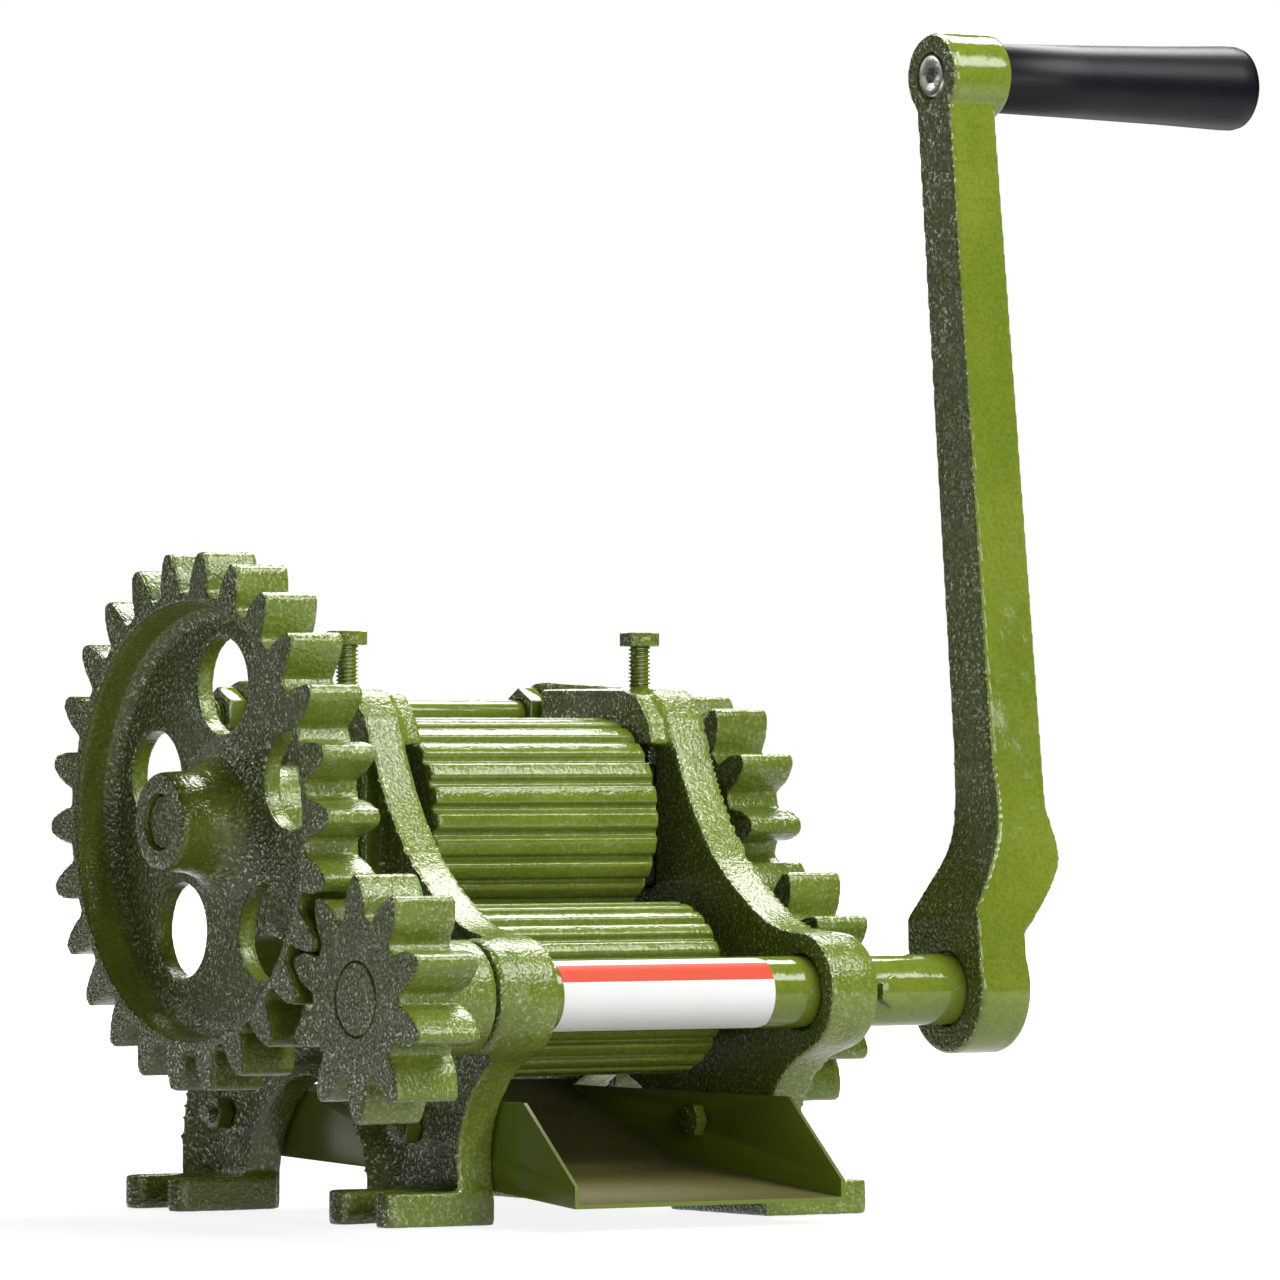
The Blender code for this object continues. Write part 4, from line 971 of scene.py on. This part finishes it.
HUB = 23 * MM
HUB_LENGTH = 22 * MM
EYE = 15.5 * MM
ARM_INSET = 17.5 * MM  # from the hub's inner end to the arm's inner face
ARM_THICK = 20 * MM
ARM_FOOT = 45 * MM  # the arm's width at the hub
ARM_NECK = 21 * MM  # what it loses over its foot
ARM_TAPER = 3 * MM  # and what it loses over its length
FOOT_START = 22 * MM
FOOT_LENGTH = {"front": 75 * MM, "rear": 34 * MM}
GRIP_BORE = 5.3 * MM
GRIP_POCKET = 9 * MM
BOLT_HEAD = 8 * MM
BOLT_HEAD_LENGTH = 5 * MM
BOLT_RADIUS = 5 * MM
SOCKET_FLATS = 5.5 * MM
SOCKET_DEPTH = 3.5 * MM
GRIP_NUT_FLATS = 15 * MM
LABEL_RADIUS = DRIVE_RADIUS + 0.06 * MM
LABEL_THICK = 0.12 * MM
LABEL_CORNER = 4 * MM
LABEL_HALF_WRAP = math.radians(72)
LABEL_STRIPS = 20


def crank():
    """A hub, a flat arm that widens and steps in to it, and an eye for the grip's bolt."""
    start, end = span("crank_arm")
    tilt = math.atan2(GRIP[0] - DRIVE[0], GRIP[1] - DRIVE[1])
    lean = Matrix.Translation((0, *DRIVE)) @ Matrix.Rotation(-tilt, 4, "X")
    length = math.dist(DRIVE, GRIP)
    hub_end = start + HUB_LENGTH
    arm = start + ARM_INSET
    back = arm + ARM_THICK
    inside = [(arm, 84), (arm - 0.6 * MM, 68), (arm - 4 * MM, 52), (start + 5 * MM, 35)]
    inside.append((start + 0.2 * MM, 27))
    outside = [(hub_end - MM, 18), (hub_end + 5 * MM, 25), (back - MM, 38), (back + 2 * MM, 48), (back, 64)]
    inside = smooth([(x, up * MM) for x, up in inside], 6)
    outside = smooth([(x, up * MM) for x, up in outside], 6)
    top = length - 8 * MM
    profile = [(arm, top)] + inside + [(start + 0.2 * MM, 0), (hub_end - MM, 0)] + outside
    profile += [(back, top)]
    bm = bmesh.new()
    base = bm.faces.new([bm.verts.new((x, 0, up)) for x, up in profile])
    raised = bmesh.ops.extrude_face_region(bm, geom=[base])["geom"]
    rear_verts = {g for g in raised if isinstance(g, bmesh.types.BMVert)}
    for vert in bm.verts:
        up = vert.co.z
        way, where = (1, "rear") if vert in rear_verts else (-1, "front")
        share = min(1.0, max(0.0, up - FOOT_START) / FOOT_LENGTH[where])
        width = ARM_FOOT - ARM_NECK * share**2 * (3 - 2 * share) - ARM_TAPER * up / length
        vert.co.y = way * width / 2
    bmesh.ops.recalc_face_normals(bm, faces=bm.faces)
    bmesh.ops.triangulate(bm, faces=bm.faces)
    bmesh.ops.transform(bm, matrix=lean, verts=bm.verts)
    hub = rod(start, hub_end, HUB, DRIVE, 96, 1.2 * MM)
    eye = rod(arm - 0.3 * MM, end, EYE, GRIP, 96, 1.5 * MM)
    cuts = [
        rod(start - REACH, hub_end + REACH, DRIVE_BORE, DRIVE),
        rod(arm - REACH, end + REACH, GRIP_BORE, GRIP, THIN_SIDES),
        rod(arm - REACH, arm + BOLT_HEAD_LENGTH + 0.3 * MM, BOLT_HEAD + 0.3 * MM, GRIP, 48),
    ]
    item = casting("crank_arm_casting", [bm, hub, eye], cuts, voxel=0.9 * MM, rounding=5, unevenness=0.2 * MM)
    stands_for(item, "crank_arm", "crank_set", FINE)


def grip():
    """A swelling plastic sleeve, open at its end for the nut of the bolt it turns on."""
    start, end = span("grip")
    pocket = end - 8 * MM
    profile = [(start, GRIP_BORE), (start, 11.6 * MM), (start + 0.9 * MM, 12.5 * MM)]
    profile += [(start + 37 * MM, 13.3 * MM), (start + 75 * MM, 14.3 * MM), (end - 9 * MM, 15.4 * MM)]
    profile += [(end - 4 * MM, 15.4 * MM), (end - 1.8 * MM, 14.8 * MM), (end - 0.5 * MM, 13.2 * MM)]
    profile += [(end, 11.5 * MM), (end, 9.3 * MM), (end - 0.4 * MM, GRIP_POCKET)]
    profile += [(pocket, GRIP_POCKET), (pocket, GRIP_BORE)]
    item = machined("grip_moulding", [turned(profile, GRIP, 96)], edge=0)
    item.data.set_sharp_from_angle(angle=math.radians(60))
    stands_for(item, "grip", "handle_grip", PLASTIC)
    head, tip = span("grip_bolt")
    head_end = head + BOLT_HEAD_LENGTH
    profile = [(head, 0), (head, BOLT_HEAD - 0.8 * MM), (head + 0.8 * MM, BOLT_HEAD), (head_end, BOLT_HEAD)]
    profile += [(head_end, BOLT_RADIUS), (tip - MM, BOLT_RADIUS), (tip, BOLT_RADIUS - MM), (tip, 0)]
    socket = hexagon(head - REACH, head + SOCKET_DEPTH, SOCKET_FLATS, GRIP)
    item = machined("grip_bolt_turned", [turned(profile, GRIP, 64)], [socket], edge=0.15 * MM)
    stands_for(item, "grip_bolt", "crank_set", STEEL)
    item = nut("grip_nut", "crank_set", GRIP_NUT_FLATS, BOLT_RADIUS + 0.2 * MM)
    item.data.materials[0] = STEEL


def label():
    """A thin film wrapped on the shaft, with two rounded corners."""
    start, end = span("label")
    half = LABEL_HALF_WRAP * LABEL_RADIUS
    outline = [(start, -half)]
    for sign, turn in ((-1, (-90, 0)), (1, (0, 90))):
        outline += arc((end - LABEL_CORNER, sign * (half - LABEL_CORNER)), LABEL_CORNER, *turn, 6)
    outline.append((start, half))
    bm = prism(outline, 0, LABEL_THICK, "Z")
    for strip in range(1, LABEL_STRIPS):
        bmesh.ops.bisect_plane(
            bm,
            geom=list(bm.verts) + list(bm.edges) + list(bm.faces),
            plane_co=(0, half * (2 * strip / LABEL_STRIPS - 1), 0),
            plane_no=(0, 1, 0),
        )
    for vert in bm.verts:
        angle = vert.co.y / LABEL_RADIUS
        reach = LABEL_RADIUS + vert.co.z
        vert.co = Vector((vert.co.x, DRIVE[0] - reach * math.cos(angle), DRIVE[1] + reach * math.sin(angle)))
    bmesh.ops.triangulate(bm, faces=bm.faces)
    bmesh.ops.recalc_face_normals(bm, faces=bm.faces)
    item = as_object(bm, "label_film_blank")
    item.data.shade_smooth()
    item.data.set_sharp_from_angle(angle=math.radians(40))
    stands_for(item, "label", "crank_set", PAPER)


# --- tray ---

SHEET_THICK = 1.5 * MM
TRAY_WALL_TOP = 43 * MM


def tray():
    """A folded sheet: a floor in two slopes down to the front lip, with a wall on each side."""
    low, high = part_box("juice_tray")
    line = [from_top(-140 * MM, 9 * MM), from_top(-37 * MM, 19 * MM), from_top(43 * MM, 45 * MM)]
    under = [(y, z - SHEET_THICK) for y, z in line]
    shapes = [prism(under + list(reversed(line)), low[0], high[0])]
    wall = [from_top(-140 * MM, 7.5 * MM), from_top(-37 * MM, 16 * MM), from_top(90 * MM, 20 * MM)]
    wall += [from_top(90 * MM, TRAY_WALL_TOP), from_top(-107 * MM, TRAY_WALL_TOP)]
    wall.append(from_top(-140 * MM, 15 * MM))
    cuts = []
    for start, end in ((low[0], low[0] + SHEET_THICK), (high[0] - SHEET_THICK, high[0])):
        shapes.append(prism(wall, start, end))
        for place in TRAY_BOLTS:
            cuts.append(rod(start - REACH, end + REACH, TRAY_BOLT_BORE, from_top(*place), THIN_SIDES))
    item = machined("juice_tray_sheet", shapes, cuts, edge=0.35 * MM)
    stands_for(item, "juice_tray", "frame_set", SHEET)


# --- set: camera, lamps and floor ---

FLOOR_SIZE = 6
FLOOR_WHITE = 1.45
FLOOR_SHARE = 0.6  # of the white, at the object
FLOOR_REACH = 0.7  # metres from the object at which the floor is all white
LAMP_CENTRE = (x_at(0), TOP[0], 120 * MM)
DIM_WORLD = 0.015
AZIMUTH = math.radians(-33.3)
PITCH = math.radians(0.48)
LENS = 281.25
DISTANCE = 3.616
AIM = (x_at(59.1 * MM), TOP[0] - 5 * MM, 204.8 * MM)


def lamp(name, toward, distance, size, power):
    """A softbox, (width, height) in size, that looks at the object."""
    data = bpy.data.lights.new(name, "AREA")
    data.shape = "RECTANGLE"
    data.size, data.size_y = size
    data.energy = power
    made = bpy.data.objects.new(name, data)
    away = Vector(toward).normalized()
    made.location = Vector(LAMP_CENTRE) + away * distance
    made.rotation_euler = away.to_track_quat("Z", "Y").to_euler()
    bpy.context.scene.collection.objects.link(made)


def pale_floor():
    """A floor that the camera sees as white paper, with the object's shadow on it.

    Its share of plain white rises with the distance from the object. Reflections see the white
    only around the object.
    """
    shape = bmesh.new()
    bmesh.ops.create_grid(shape, x_segments=2, y_segments=2, size=FLOOR_SIZE)
    bmesh.ops.translate(shape, vec=(0, 0, -0.3 * MM), verts=shape.verts)
    floor = as_object(shape, "pale_floor")
    finish = Finish("floor_paper", Base_Color=(0.4, 0.4, 0.4, 1), Roughness=0.8)
    away = finish.node("ShaderNodeVectorMath", {"operation": "LENGTH"}, {0: finish.place()}, out=1)
    camera_ray = finish.node("ShaderNodeLightPath", out="Is Camera Ray")
    glossy_ray = finish.node("ShaderNodeLightPath", out="Is Glossy Ray")
    lit = FLOOR_SHARE + away.rises(0.3, FLOOR_REACH) * (1 - FLOOR_SHARE)
    share = lit * finish.maths("MAXIMUM", camera_ray, glossy_ray * (1 - away.rises(0.6, 1.3)))
    white = finish.node("ShaderNodeEmission", None, {"Strength": FLOOR_WHITE})
    paper = Value(finish, finish.shader.outputs[0])
    seen = finish.node("ShaderNodeMixShader", None, {0: share, 1: paper, 2: white})
    finish.tree.links.new(seen.socket, finish.tree.nodes["Material Output"].inputs["Surface"])
    floor.data.materials.append(finish.material)


def studio():
    """Six softboxes, a world that only the camera sees as white, and the floor."""
    scene = bpy.context.scene
    lamp("key_softbox", (0.5, -0.85, 0.95), 1.6, (0.8, 0.8), 20)
    lamp("top_softbox", (0.45, 0.3, 0.85), 1.5, (0.8, 0.7), 22)
    lamp("front_fill", (0.0, -1.0, 0.12), 1.8, (1.2, 0.5), 10)
    lamp("rear_strip", (0.75, 1.0, 0.35), 1.7, (0.5, 0.5), 4)
    lamp("glint_lamp", (-0.5, 0.85, 0.52), 1.8, (0.6, 0.6), 6)
    lamp("left_strip", (-0.85, -0.5, 0.3), 1.8, (0.06, 0.9), 0.3)
    world = bpy.data.worlds.new("studio")
    scene.world = world
    world.use_nodes = True
    sky = world.node_tree.nodes["Background"]
    sky.inputs["Color"].default_value = (1, 1, 1, 1)
    path = world.node_tree.nodes.new("ShaderNodeLightPath")
    level = world.node_tree.nodes.new("ShaderNodeMapRange")
    level.inputs["To Min"].default_value = DIM_WORLD
    level.inputs["To Max"].default_value = 1.0
    world.node_tree.links.new(path.outputs["Is Camera Ray"], level.inputs["Value"])
    world.node_tree.links.new(level.outputs[0], sky.inputs["Strength"])
    pale_floor()
    scene.view_settings.view_transform = "Standard"


def camera():
    """A long lens at bench height, from the front left."""
    data = bpy.data.cameras.new("camera")
    data.sensor_width = 36
    data.lens = LENS
    data.clip_start = 0.1
    data.clip_end = 50
    made = bpy.data.objects.new("camera", data)
    back = Vector((math.sin(AZIMUTH), -math.cos(AZIMUTH), -math.tan(PITCH))).normalized()
    made.location = Vector(AIM) + back * DISTANCE
    made.rotation_euler = back.to_track_quat("Z", "Y").to_euler()
    bpy.context.scene.collection.objects.link(made)
    bpy.context.scene.camera = made


def hidden_keys():
    """The keys stay as they are in the frame, in steel."""
    for name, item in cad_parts.items():
        if name.endswith("_key"):
            item.data.materials.clear()
            item.data.materials.append(STEEL)


side_frames()
drive_gear()
drive_pinion()
roller_gears()
rollers()
roller_shafts()
top_bearings()
adjusting_bolts()
drive_shaft()
crank()
grip()
label()
tray()
tray_fasteners()
tie_rod()
hidden_keys()
studio()
camera()
